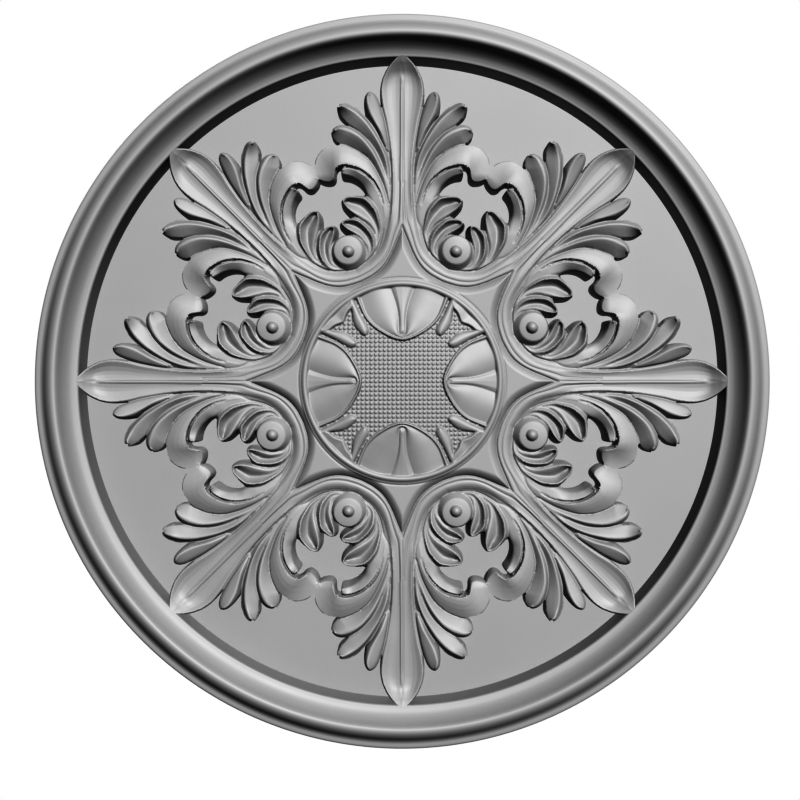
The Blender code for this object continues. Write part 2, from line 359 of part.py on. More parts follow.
def medallion_grid(fine=1.0):
    x = np.arange(MU)[None, :] * MSTEP - 6.0
    y = np.arange(MV)[:, None] * MSTEP - 6.0
    top = bead_field(x, y) + 0 * x * y
    n, m = int(360 * fine), int(60 * fine)
    foot, crest, inner, groove = (rail_m(SHELL[k], n) for k in ("foot", "crest", "inner", "groove"))
    lay_m(top, *span(foot, crest, ROLL, m))
    lay_m(top, *span(crest, inner, flip([(0, 1), (.25, .94), (.5, .6), (.8, .08), (1, 0)]), m))
    # the two pillowy lobes between the raised rim and the rib
    q = np.linspace(0, 1, 2 * m)[None, :, None]
    xy = inner[:, None, :2] * (1 - q) + groove[:, None, :2] * q
    z = inner[:, None, 2:] * (1 - q) + groove[:, None, 2:] * q + 2.3 * np.sin(np.pi * q ** 1.2) ** 0.85
    lay_m(top, *np.moveaxis(np.concatenate([xy, z], 2), 2, 0))
    spine = [(p[0], -1.0, p[2] + (2.2 if i > 1 else 0.5)) for i, p in enumerate(SHELL["groove"])]
    lay_m(top, *span(groove, rail_m(spine, n), [(0, 0), (.18, .5), (.4, .88), (1, 1)], m))
    low, crest, high = (rail_m(FINGER[k], n) for k in ("low", "crest", "high"))
    lay_m(top, *span(low, crest, ROUND, m))
    lay_m(top, *span(high, crest, ROUND, m))
    inner, crest, outer = (rail_m(WEB[k], n) for k in ("inner", "crest", "outer"))
    lay_m(top, *span(inner, crest, ROLL, m))
    lay_m(top, *span(crest, outer, LINE, m))
    r = np.hypot(x, y)
    ring = np.where(r > 91.2, ramp(RING_SECTION, r), -9)
    return np.maximum(top, ring)


def soften(grid):
    """One light pass of averaging, as a casting softens its pattern."""
    g = np.pad(grid, 1, mode="edge")
    g = (g[:-2] + 2 * g[1:-1] + g[2:]) / 4
    return (g[:, :-2] + 2 * g[:, 1:-1] + g[:, 2:]) / 4


def near_line(line, reach, signed=False):
    """Distance from the grid's points to a line, up to reach; negative on its right if signed."""
    best = np.full((NV, NU), float(reach))
    right = np.zeros((NV, NU), bool)
    gx, gy = U_LO + np.arange(NU) * STEP, V_LO + np.arange(NV) * STEP
    for a, b in zip(line[:-1], line[1:]):
        i0, i1 = (int((v - U_LO) / STEP) for v in (min(a[0], b[0]) - reach, max(a[0], b[0]) + reach))
        j0, j1 = (int((v - V_LO) / STEP) for v in (min(a[1], b[1]) - reach, max(a[1], b[1]) + reach))
        i0, j0, i1, j1 = max(i0, 0), max(j0, 0), min(i1 + 2, NU), min(j1 + 2, NV)
        if i0 >= i1 or j0 >= j1:
            continue
        x, y = gx[None, i0:i1], gy[j0:j1, None]
        d = b - a
        t = np.clip(((x - a[0]) * d[0] + (y - a[1]) * d[1]) / max(d @ d, 1e-9), 0, 1)
        away = np.hypot(x - a[0] - t * d[0], y - a[1] - t * d[1])
        nearer = away < best[j0:j1, i0:i1]
        side = d[0] * (y - a[1]) - d[1] * (x - a[0]) < 0
        right[j0:j1, i0:i1] = np.where(nearer, side, right[j0:j1, i0:i1])
        best[j0:j1, i0:i1] = np.where(nearer, away, best[j0:j1, i0:i1])
    return np.where(right, -best, best) if signed else best


def finish_grid(laid):
    """Star, ring shoulder, boss with its eye, and the web between the leaf roots."""
    top, carved = laid
    x = (U_LO + np.arange(NU) * STEP)[None, :]
    y = (V_LO + np.arange(NV) * STEP)[:, None]
    r, a = np.hypot(x, y), np.arctan2(np.abs(y), x)
    groove = spline([plan(*row[0])[:2] for row in BANDS[:9]], 90)
    ga, gr = np.arctan2(groove[:, 1], groove[:, 0]), np.hypot(groove[:, 0], groove[:, 1])
    edge = np.interp(a, ga[::-1], gr[::-1])
    inside = r < edge
    depth = near_line(groove, 8.5)
    star = 8.7 - 7.4 * (1 - np.clip(depth / 8.5, 0, 1)) ** 1.8
    ring = ramp(RING_SECTION, r)
    star = np.where(r < 100.2, ring, np.minimum(star, ring))
    top = np.maximum(top, np.where(inside, star, -9))
    # the boss is a low cone whose top is set a little further out, with a ball in its middle
    ca, sa = math.cos(HALF), math.sin(HALF)
    px, py = x - BOSS["r"] * ca, y - BOSS["r"] * sa
    move, shrink = BOSS["top_r"] - BOSS["r"], BOSS["radius"] - BOSS["top"]
    qa = move ** 2 - shrink ** 2
    qb = -2 * move * (px * ca + py * sa) + 2 * BOSS["radius"] * shrink
    qc = px ** 2 + py ** 2 - BOSS["radius"] ** 2
    rise = 2 * qc / (-qb - np.sqrt(np.maximum(qb ** 2 - 4 * qa * qc, 0)))
    rho = np.hypot(x - BOSS["top_r"] * ca, y - BOSS["top_r"] * sa)
    boss = np.where(rise < 0, -9, -.5 + 7.4 * np.clip(rise, 0, 1))
    boss = boss + 1.2 * np.clip(1 - (rho / BOSS["top"]) ** 2, 0, 1)
    eye = np.hypot(x - BOSS["eye_r"] * ca, y - BOSS["eye_r"] * sa)
    ball = np.where(eye < BOSS["eye"], 7.4 + 5.2 * np.sqrt(np.clip(1 - (eye / BOSS["eye"]) ** 2, 0, 1)), -9)
    grooves = np.zeros_like(top)
    for key, rows, deep, wide in ((3, 18, 1.7, .75), (1, 12, .55, .6), (0, 9, 1.3, .75)):
        line = spline([plan(*row[key])[:2] for row in BANDS[:rows]], 12 * rows)
        grooves = np.maximum(grooves, deep * np.exp(-(near_line(line, 3.0) / wide) ** 2))
    for fold, deep in ((VEIN, 1.0), (FOLD, 1.3), (SEAM, 1.3)):
        line = spline([plan(*p)[:2] for p in fold], 90)
        grooves = np.maximum(grooves, deep * np.exp(-(near_line(line, 3.0) / .8) ** 2))
    rim = np.array([plan(*row[2])[:2] for row in BANDS[8:]])
    petal = (np.abs(y) < np.interp(x, rim[:, 0], rim[:, 1])) & (x > 150)
    # between the leaves the face is level, and it falls away steeply at the free edges
    level = -.5 - 1.3 * np.clip((x - 205) / 15, 0, 1) + 0 * y
    web = level
    for line, wide, deep in ((OUTER_EDGE, 1.6, 22.0), (POCKET_EDGE, 3.2, 22.0), (SLOT, 2.6, 16.0)):
        away = near_line(np.array([p for p in line if p is not None]), wide, deep > 20)
        web = np.minimum(web, level - deep * np.clip(1 - away / wide, 0, 2))
    web = np.where(a > HALF + .004, -30.0, web)
    top = np.where(petal | carved, top, np.maximum(top, web)) - grooves
    top = np.maximum(top, np.maximum(boss, ball))
    # the second leaf turns up at its tip
    s, t = (x - 256.8) * .72 + (y - 49.0) * .69, (y - 49.0) * .72 - (x - 256.8) * .69
    lift = 4.6 * np.clip(s / 15.0, 0, 1.15) ** 3 * np.clip(1 - (t / 8.5) ** 2, 0, 1) ** .5
    top = np.where((x > 248) & (top > -3), top + lift, top)
    # and so does the curl
    lift = 5.0 * np.clip((y + .25 * (202.0 - x) - 47.0) / 11.0, 0, 1.1) ** 2.4 * np.clip(1 - ((x - 203.5) / 6.5) ** 2, 0, 1) ** .5
    top = np.where((y < 60) & (y > 46) & (x > 195) & (top > -3), top + lift, top)
    # a fine groove runs down the midrib of the petal
    groove = 0.7 * np.exp(-(y / 0.75) ** 2) * np.clip((x - 149) / 12, 0, 1) * np.clip((296 - x) / 12, 0, 1)
    top = np.where(petal, top - groove, top)
    # the other half of the repeat, seen in the petal's axis and in the ray between two petals
    k = int(round(-V_LO / STEP))
    top[:k] = top[2 * k:k:-1]
    c2, s2 = math.cos(2 * HALF), math.sin(2 * HALF)
    beyond = sample(top, x * c2 + y * s2, x * s2 - y * c2, U_LO, V_LO, STEP)
    top = np.where(a > HALF - .12, np.maximum(top, beyond), top)
    return soften(top)


# ---------------------------------------------------------------- coarse faceted body
LEAF_GRID = finish_grid(relief_grid(0.8))
CENTRE_GRID = medallion_grid(0.8)
JOIN = 95.2                      # the medallion grid is used inside this radius


def top_height(x, y):
    """Height of the leafwork and the medallion over the ground, any point in the half repeat."""
    if math.hypot(x, y) < JOIN:
        return FACE + float(sample(CENTRE_GRID, [x], [y], -6.0, -6.0, MSTEP)[0])
    return FACE + float(sample(LEAF_GRID, [x], [y], U_LO, V_LO, STEP)[0])


def thin(points, gap, taken=()):
    """Keep points that are at least gap apart from each other and from those already taken."""
    kept = [tuple(p) for p in taken]
    fresh = []
    for p in points:
        if all((p[0] - q[0]) ** 2 + (p[1] - q[1]) ** 2 >= gap * gap for q in kept):
            kept.append(p)
            fresh.append(p)
    return fresh


def runs(line):
    return [p for p in line if p is not None]


def inside(p, ring):
    n, hit = len(ring), False
    for i in range(n):
        (x1, y1), (x2, y2) = ring[i], ring[(i + 1) % n]
        if (y1 > p[1]) != (y2 > p[1]) and p[0] < (x2 - x1) * (p[1] - y1) / (y2 - y1) + x1:
            hit = not hit
    return hit


def on_ray(r):
    return (r * math.cos(HALF), r * math.sin(HALF))


SEGMENTS = 96
PER_HALF = SEGMENTS // (2 * PETALS)
WALL_R = FRAME[0][0]
JOIN_Z = FACE + 12.0
AXIS_STOPS = (99, 103.5, 118, 134, 146, 151, 157, 190, 225, 260, 285, 303)
HALF_POINTS, EIGHTH_POINTS = 55, 54
EDGE_TOL = 0.7       # how far a straightened outline may leave its guide points


def arc(r, a0, a1, n):
    return [(r * math.cos(a0 + (a1 - a0) * i / n), r * math.sin(a0 + (a1 - a0) * i / n)) for i in range(n + 1)]


def triangulate(points, lines):
    """Constrained Delaunay triangles over plan points; lines are chains of points."""
    verts, index, edges = [], {}, []

    def put(p):
        key = (round(p[0], 3), round(p[1], 3))
        if key not in index:
            index[key] = len(verts)
            verts.append(Vector(key))
        return index[key]

    for line in lines:
        ids = [put(p) for p in line]
        edges += [(a, b) for a, b in zip(ids, ids[1:]) if a != b]
    for p in points:
        put(p)
    out = delaunay_2d_cdt(verts, edges, [], 0, 1e-4)
    return [(v.x, v.y) for v in out[0]], [tuple(f) for f in out[2]]


def straighten(line, tol):
    """Fewer points on an open line, none further than tol from the original."""
    if len(line) < 3:
        return list(line)
    (x0, y0), (x1, y1) = line[0], line[-1]
    length = max(math.hypot(x1 - x0, y1 - y0), 1e-9)
    off = [abs((x - x0) * (y1 - y0) - (y - y0) * (x1 - x0)) / length for x, y in line]
    k = max(range(len(line)), key=off.__getitem__)
    if off[k] <= tol:
        return [line[0], line[-1]]
    return straighten(line[:k + 1], tol)[:-1] + straighten(line[k:], tol)


def corners_kept(line, tol):
    """Straighten each smooth run between the corner breaks of an outline."""
    out, run = [], []
    for p in list(line) + [None]:
        if p is None:
            out += straighten(run, tol)
            run = []
        else:
            run.append(p)
    return out


def refine(lines, candidates, count, gap, height):
    """Add the candidate points where the triangles are furthest from the surface, step by step."""
    chosen = []
    cand = np.array(candidates, float)
    goal = np.array([height(x, y) for x, y in cand])
    while len(chosen) < count:
        verts, faces = triangulate(chosen, lines)
        p = np.array([(x, y, height(x, y)) for x, y in verts])
        t = p[np.array(faces)]
        a, b, c = t[:, 0], t[:, 1], t[:, 2]
        det = (b[:, 0] - a[:, 0]) * (c[:, 1] - a[:, 1]) - (b[:, 1] - a[:, 1]) * (c[:, 0] - a[:, 0])
        ok = np.abs(det) > 1e-6
        a, b, c, det = a[ok], b[ok], c[ok], det[ok]
        x, y = cand[:, :1], cand[:, 1:]
        wb = ((x - a[:, 0]) * (c[:, 1] - a[:, 1]) - (y - a[:, 1]) * (c[:, 0] - a[:, 0])) / det
        wc = ((b[:, 0] - a[:, 0]) * (y - a[:, 1]) - (b[:, 1] - a[:, 1]) * (x - a[:, 0])) / det
        inner = np.minimum(np.minimum(wb, wc), 1 - wb - wc)
        k = inner.argmax(1)
        i = np.arange(len(cand))
        z = a[k, 2] + wb[i, k] * (b[k, 2] - a[k, 2]) + wc[i, k] * (c[k, 2] - a[k, 2])
        error = np.abs(goal - z)
        added = []
        for j in np.argsort(-error):
            q = tuple(cand[j])
            near = [v for v in verts + added if math.hypot(v[0] - q[0], v[1] - q[1]) < gap]
            if not near:
                added.append(q)
            if len(added) == 4 or error[j] < 0.05:
                break
        if not added:
            break
        chosen += added
    return chosen


def flat_on_line(corners, angle):
    """True for a triangle without width, all of it on the axis or on the ray at this angle."""
    off = [abs(y * math.cos(angle) - x * math.sin(angle)) for x, y in corners]
    return max(off) < 0.01 or max(abs(y) for x, y in corners) < 0.01


def half_repeat():
    """Triangles of one half repeat, as three corner points each, with the drops to the ground."""
    axis_end = (WALL_R, 0.0)
    tip = (math.sqrt(WALL_R ** 2 - 5.6 ** 2), 5.6)
    outer = corners_kept([p for p in OUTER_EDGE if p is None or math.hypot(*p) < WALL_R - 1.5], EDGE_TOL)
    outer = [tip] + outer[:-1] + [on_ray(220.8)]
    pocket = [on_ray(213.0)] + corners_kept(POCKET_EDGE, EDGE_TOL)[1:-1] + [on_ray(153.0)]
    rim = arc(WALL_R, 0, HALF, PER_HALF)
    rim = [rim[0], tip] + rim[1:]
    border = ([(JOIN, 0.0)] + [(r, 0.0) for r in AXIS_STOPS] + rim)
    ray = [on_ray(r) for r in (268, 220.8, 213, 183, 153.0, 149.5, 143.2, 140, 135, 132, 124, 117.5, 106, 99)]
    border += ray + arc(JOIN, 0, HALF, PER_HALF)[::-1]
    ornament = ([(JOIN, 0.0)] + border[1:1 + len(AXIS_STOPS)] + [rim[0]] + outer
                + pocket + ray[5:] + arc(JOIN, 0, HALF, PER_HALF)[::-1][:-1])
    lines = [border + [border[0]], outer, pocket]
    lines.append([plan(*row[0])[:2] for row in BANDS[:9]])
    wanted = []
    for row in BANDS[1:-2]:
        wanted += [plan(*row[k])[:2] for k in (1, 2, 3)]
    for leaf in LEAVES.values():
        for key, every in (("crest", 1), ("foot", 1), ("edge", 2)):
            wanted += [plan(*p)[:2] for p in leaf[key][::every]]
    for cup in CUPS.values():
        for key, every in (("crest", 1), ("foot", 1), ("hollow", 2), ("rim", 3), ("edge", 2)):
            wanted += [plan(*p)[:2] for p in cup[key][::every]]
    cx, cy = BOSS["r"] * math.cos(HALF), BOSS["r"] * math.sin(HALF)
    ex, ey = BOSS["eye_r"] * math.cos(HALF), BOSS["eye_r"] * math.sin(HALF)
    for rho, n in ((17.2, 9), (12.4, 6)):
        wanted += [(cx + rho * math.cos(HALF - math.pi * i / n), cy + rho * math.sin(HALF - math.pi * i / n))
                   for i in range(1, n)]
    for rho, n in ((5.8, 5), (3.6, 4)):
        wanted += [(ex + rho * math.cos(HALF - math.pi * i / n), ey + rho * math.sin(HALF - math.pi * i / n))
                   for i in range(1, n)]
    groove = [plan(*row[0])[:2] for row in BANDS[1:8]]
    for x, y in groove:
        r, a = math.hypot(x, y), math.atan2(y, x)
        wanted.append(((r - 3.2) * math.cos(a), (r - 3.2) * math.sin(a)))
        wanted.append(((r - 7.5) * math.cos(a), (r - 7.5) * math.sin(a)))
    wanted += arc(99.0, 0, HALF, 6)[1:-1]
    fixed = border + outer + pocket + groove

    def free(p):
        r, a = math.hypot(*p), math.atan2(p[1], p[0])
        return (JOIN + 1.5 < r < WALL_R - 2.0 and p[1] > 1.2 and a < HALF - 1.2 / r and inside(p, ornament))

    def height_at(x, y):
        r = math.hypot(x, y)
        if abs(r - JOIN) < 0.02:
            return JOIN_Z
        if r > WALL_R - 0.3:
            return FRAME[1][1]
        return max(top_height(x, y), FACE - 2.6)

    points = refine(lines, thin([p for p in wanted if free(p)], 1.6, fixed), HALF_POINTS, 3.2, height_at)
    verts, faces = triangulate(points, lines)
    top, low = [], []
    for f in faces:
        c = (sum(verts[i][0] for i in f) / 3, sum(verts[i][1] for i in f) / 3)
        if not inside(c, border) or flat_on_line([verts[i] for i in f], HALF):
            continue
        (top if inside(c, ornament) else low).append(f)
    height = {}

    def lift(i):
        if i not in height:
            height[i] = height_at(*verts[i])
        return (verts[i][0], verts[i][1], height[i])

    out = [tuple(lift(i) for i in f) for f in top]
    out += [tuple((verts[i][0], verts[i][1], 0.0) for i in f) for f in low]
    edge_low = {(f[k], f[(k + 1) % 3]) for f in low for k in range(3)}
    for f in top:
        for k in range(3):
            a, b = f[k], f[(k + 1) % 3]
            if (b, a) in edge_low:
                pa, pb = lift(a), lift(b)
                qa, qb = (pa[0], pa[1], 0.0), (pb[0], pb[1], 0.0)
                out += [(pb, pa, qa), (pb, qa, qb)]
    wall_top = FRAME[1][1]
    for f in low:                                   # the frame's inner wall over the bare ground
        for k in range(3):
            a, b = verts[f[k]], verts[f[(k + 1) % 3]]
            if min(math.hypot(*a), math.hypot(*b)) > WALL_R - 0.3:
                out += [((b[0], b[1], 0.0), (a[0], a[1], 0.0), (a[0], a[1], wall_top)),
                        ((b[0], b[1], 0.0), (a[0], a[1], wall_top), (b[0], b[1], wall_top))]
    return out


def eighth():
    """Triangles of one eighth of the medallion."""
    a1 = 2 * HALF
    rim = arc(JOIN, 0, a1, 2 * PER_HALF)
    border = [(0.0, 0.0)] + [(r, 0.0) for r in (20, 39.5, 42, 45.5, 60, 76, 86, 91.6)] + rim
    border += [(r * math.cos(a1), r * math.sin(a1)) for r in (91.6, 87, 83, 62, 40, 20)]
    lines = [border + [border[0]]]
    wanted = []
    for key in ("crest", "foot", "inner"):
        wanted += [plan(p[0], p[1], p[2] + CENTRE)[:2] for p in SHELL[key][1:-1]]
    wanted += [plan(p[0], p[1], p[2] + CENTRE)[:2] for p in SHELL["groove"][2:-1:2]]
    wanted += [(56.0, 12.0), (66.0, 17.0), (76.0, 23.0), (86.0, 28.0), (70.0, 26.0)]
    for key in ("crest", "low", "high"):
        wanted += [plan(p[0], p[1], p[2] + CENTRE)[:2] for p in FINGER[key]]
    for key in ("inner", "crest", "outer"):
        wanted += [plan(p[0], p[1], p[2] + CENTRE)[:2] for p in WEB[key]]
    wanted += arc(91.8, 0, a1, 12)[1:-1]
    wanted += [(r * math.cos(a), r * math.sin(a)) for r, a in ((20, .4), (32, .2), (32, .58))]

    def free(p):
        r, a = math.hypot(*p), math.atan2(p[1], p[0])
        return r < JOIN - 2 and p[1] > 1.2 and a < a1 - 1.2 / r

    def height_at(x, y):
        return JOIN_Z if math.hypot(x, y) > JOIN - 0.02 else top_height(x, y)

    points = refine(lines, thin([p for p in wanted if free(p)], 1.6, border), EIGHTH_POINTS, 3.4, height_at)
    verts, faces = triangulate(points, lines)
    out = []
    for f in faces:
        c = (sum(verts[i][0] for i in f) / 3, sum(verts[i][1] for i in f) / 3)
        if inside(c, border) and not flat_on_line([verts[i] for i in f], a1):
            out.append(tuple((verts[i][0], verts[i][1], height_at(*verts[i])) for i in f))
    return out


def copies(triangles, count):
    """Mirror the piece over its axis, then turn the pair round the centre."""
    out = []
    for k in range(count):
        a = 2 * math.pi * k / count
        ca, sa = math.cos(a), math.sin(a)
        for side in (1, -1):
            for t in triangles:
                p = [(x * ca - side * y * sa, x * sa + side * y * ca, z) for x, y, z in t]
                out.append(p if side == 1 else p[::-1])
    return out


def frame_and_back():
    """The turned moulding from its inner wall's top over the crest to the flat back."""
    profile = straighten(FRAME[1:], 0.8) + [(FRAME[-1][0], -BACKING)]
    out = []
    tip = math.asin(5.6 / WALL_R)
    angles = []
    for i in range(SEGMENTS):
        angles.append(2 * math.pi * i / SEGMENTS)
    for i in range(SEGMENTS):
        a0, a1 = angles[i], 2 * math.pi * (i + 1) / SEGMENTS
        loops = [[(r * math.cos(a), r * math.sin(a), z) for a in (a0, a1)] for r, z in profile]
        base = loops[0]
        # where a petal's edge meets the wall, the first loop has one point more
        extra = []
        for k in range(PETALS):
            for s in (1, -1):
                a = (2 * math.pi * k / PETALS + s * tip) % (2 * math.pi)
                if a0 < a < a1:
                    extra.append((WALL_R * math.cos(a), WALL_R * math.sin(a), profile[0][1]))
        for j in range(len(profile) - 1):
            (p0, p1), (q0, q1) = loops[j], loops[j + 1]
            if j == 0 and extra:
                e = extra[0]
                out += [(p0, q0, e), (e, q0, q1), (e, q1, p1)]
            else:
                out += [(p0, q0, q1), (p0, q1, p1)]
        out.append((loops[-1][0], (0.0, 0.0, -BACKING), loops[-1][1]))
    return out


def build_mesh():
    soup = copies(half_repeat(), PETALS) + copies(eighth(), 4) + frame_and_back()
    index, verts, faces = {}, [], []
    for t in soup:
        ids = []
        for x, y, z in t:
            key = (round(x, 2), round(y, 2), round(z, 2))
            if key not in index:
                index[key] = len(verts)
                # installed on a ceiling: the face looks down, the back is at the origin
                verts.append((x * UNIT, -y * UNIT, -(z + BACKING) * UNIT))
            ids.append(index[key])
        if len(set(ids)) == 3:
            faces.append(ids)
    mesh = bpy.data.meshes.new("ceiling_rose")
    mesh.from_pydata(verts, [], faces)
    mesh.update()
    return mesh


def main():
    for obj in list(bpy.data.objects):
        bpy.data.objects.remove(obj, do_unlink=True)
    plaster = bpy.data.materials.new("plaster")
    plaster.use_nodes = True
    shader = plaster.node_tree.nodes["Principled BSDF"]
    shader.inputs["Base Color"].default_value = (0.62, 0.62, 0.61, 1.0)
    shader.inputs["Roughness"].default_value = 0.6
    shader.inputs["Metallic"].default_value = 0.0
    mesh = build_mesh()
    bm = bmesh.new()
    bm.from_mesh(mesh)
    bmesh.ops.remove_doubles(bm, verts=bm.verts, dist=2e-6)
    bmesh.ops.dissolve_degenerate(bm, dist=1e-6, edges=bm.edges)
    bmesh.ops.triangulate(bm, faces=bm.faces)
    bmesh.ops.recalc_face_normals(bm, faces=bm.faces)
    bm.to_mesh(mesh)
    bm.free()
    rose = bpy.data.objects.new("ceiling_rose", mesh)
    rose.data.materials.append(plaster)
    bpy.context.scene.collection.objects.link(rose)
    mesh.shade_smooth()
    mesh.set_sharp_from_angle(angle=math.radians(32))


main()
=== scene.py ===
"""Looks of the ceiling rose: the same layout as the solid, at full detail, in plaster."""
import math

import bpy
import numpy as np
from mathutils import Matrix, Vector
from mathutils.geometry import delaunay_2d_cdt


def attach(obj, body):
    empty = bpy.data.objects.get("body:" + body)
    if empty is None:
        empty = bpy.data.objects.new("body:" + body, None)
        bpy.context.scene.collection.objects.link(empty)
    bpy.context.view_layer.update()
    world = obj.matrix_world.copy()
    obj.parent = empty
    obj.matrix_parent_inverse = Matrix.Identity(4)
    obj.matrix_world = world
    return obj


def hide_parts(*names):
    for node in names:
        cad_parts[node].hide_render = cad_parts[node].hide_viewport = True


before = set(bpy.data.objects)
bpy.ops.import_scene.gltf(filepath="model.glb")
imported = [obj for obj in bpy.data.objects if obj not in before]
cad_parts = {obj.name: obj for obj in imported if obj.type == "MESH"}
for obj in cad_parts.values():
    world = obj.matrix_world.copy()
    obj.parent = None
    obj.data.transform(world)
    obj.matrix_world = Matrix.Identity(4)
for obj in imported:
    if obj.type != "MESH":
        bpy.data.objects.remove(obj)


# ---------------------------------------------------------------- named sizes
DIAMETER = 0.800                 # over the outer moulding, metres
UNIT = DIAMETER / 2.0 / 356.1    # the carving is laid out on a plate of radius 356.1 units
BACKING = 10.0                   # plate thickness behind the sunk ground
FACE = 25.0                      # top of the leafwork above the ground
SIGHT = 1255.0                   # reading distance of the layout drawing, units
PETALS = 8
HALF = math.pi / PETALS          # half a repeat

# moulded frame: (radius, height above the ground)
FRAME = [(315.4, 0.0), (315.4, 31.0), (316.2, 33.0), (319.0, 33.9), (322.6, 35.7),
         (325.7, 38.6), (328.5, 42.5), (330.4, 46.0), (332.0, 49.3), (333.6, 51.4),
         (335.6, 52.1), (338.0, 51.8), (340.6, 50.4), (343.4, 47.8), (346.0, 44.3),
         (348.0, 41.9), (350.3, 40.4), (353.3, 40.0), (355.2, 39.6), (356.1, 38.4)]


def plan(u, v, z):
    """The layout drawing is read from SIGHT away: a point z above the face plane moves inwards."""
    k = (SIGHT - FACE - z) / SIGHT
    return (u * k, v * k, z)


def spline(points, n):
    """Catmull-Rom curve through the points, n samples spread evenly over the spans."""
    p = np.asarray(points, float)
    p = np.vstack([2 * p[0] - p[1], p, 2 * p[-1] - p[-2]])
    t = np.linspace(0, len(p) - 3, n)
    i = np.minimum(t.astype(int), len(p) - 4)
    s = (t - i)[:, None]
    a, b, c, d = p[i], p[i + 1], p[i + 2], p[i + 3]
    return 0.5 * (2 * b + (c - a) * s + (2 * a - 5 * b + 4 * c - d) * s ** 2
                  + (3 * b - a - 3 * c + d) * s ** 3)


def even(points, n):
    """The spline with its samples spread evenly along its length."""
    fine = spline(points, 40 * len(points))
    d = np.r_[0, np.cumsum(np.linalg.norm(np.diff(fine[:, :2], axis=0), axis=1))]
    s = np.linspace(0, d[-1], n)
    return np.stack([np.interp(s, d, fine[:, k]) for k in range(fine.shape[1])], 1)


# section shapes across a leaf: share of the width against share of the rise
STEEP = [(0, 0), (0.12, 0.26), (0.25, 0.50), (0.45, 0.68), (0.7, 0.86), (0.9, 0.98), (1, 1)]
ROLL = [(0, 0), (0.2, 0.34), (0.45, 0.68), (0.7, 0.90), (1, 1)]
EASY = [(0, 1), (0.12, 0.985), (0.35, 0.78), (0.6, 0.5), (0.82, 0.24), (1, 0)]
DOME = [(0, 1), (0.15, 0.985), (0.35, 0.88), (0.6, 0.62), (0.82, 0.30), (1, 0)]
LINE = [(0, 0), (1, 1)]
SIDE = [(0, 0), (0.1, 0.12), (0.7, 0.86), (0.86, 0.97), (1, 1)]
LIP = [(0, 0), (0.3, 0.1), (0.45, 0.3), (0.82, 0.88), (1, 1)]
HOLLOW = [(0, 0), (0.25, -0.16), (0.45, -0.12), (0.7, 0.24), (0.9, 0.8), (1, 1)]
COVE = [(0, 0), (0.3, 0.12), (0.6, 0.42), (0.85, 0.82), (1, 1)]

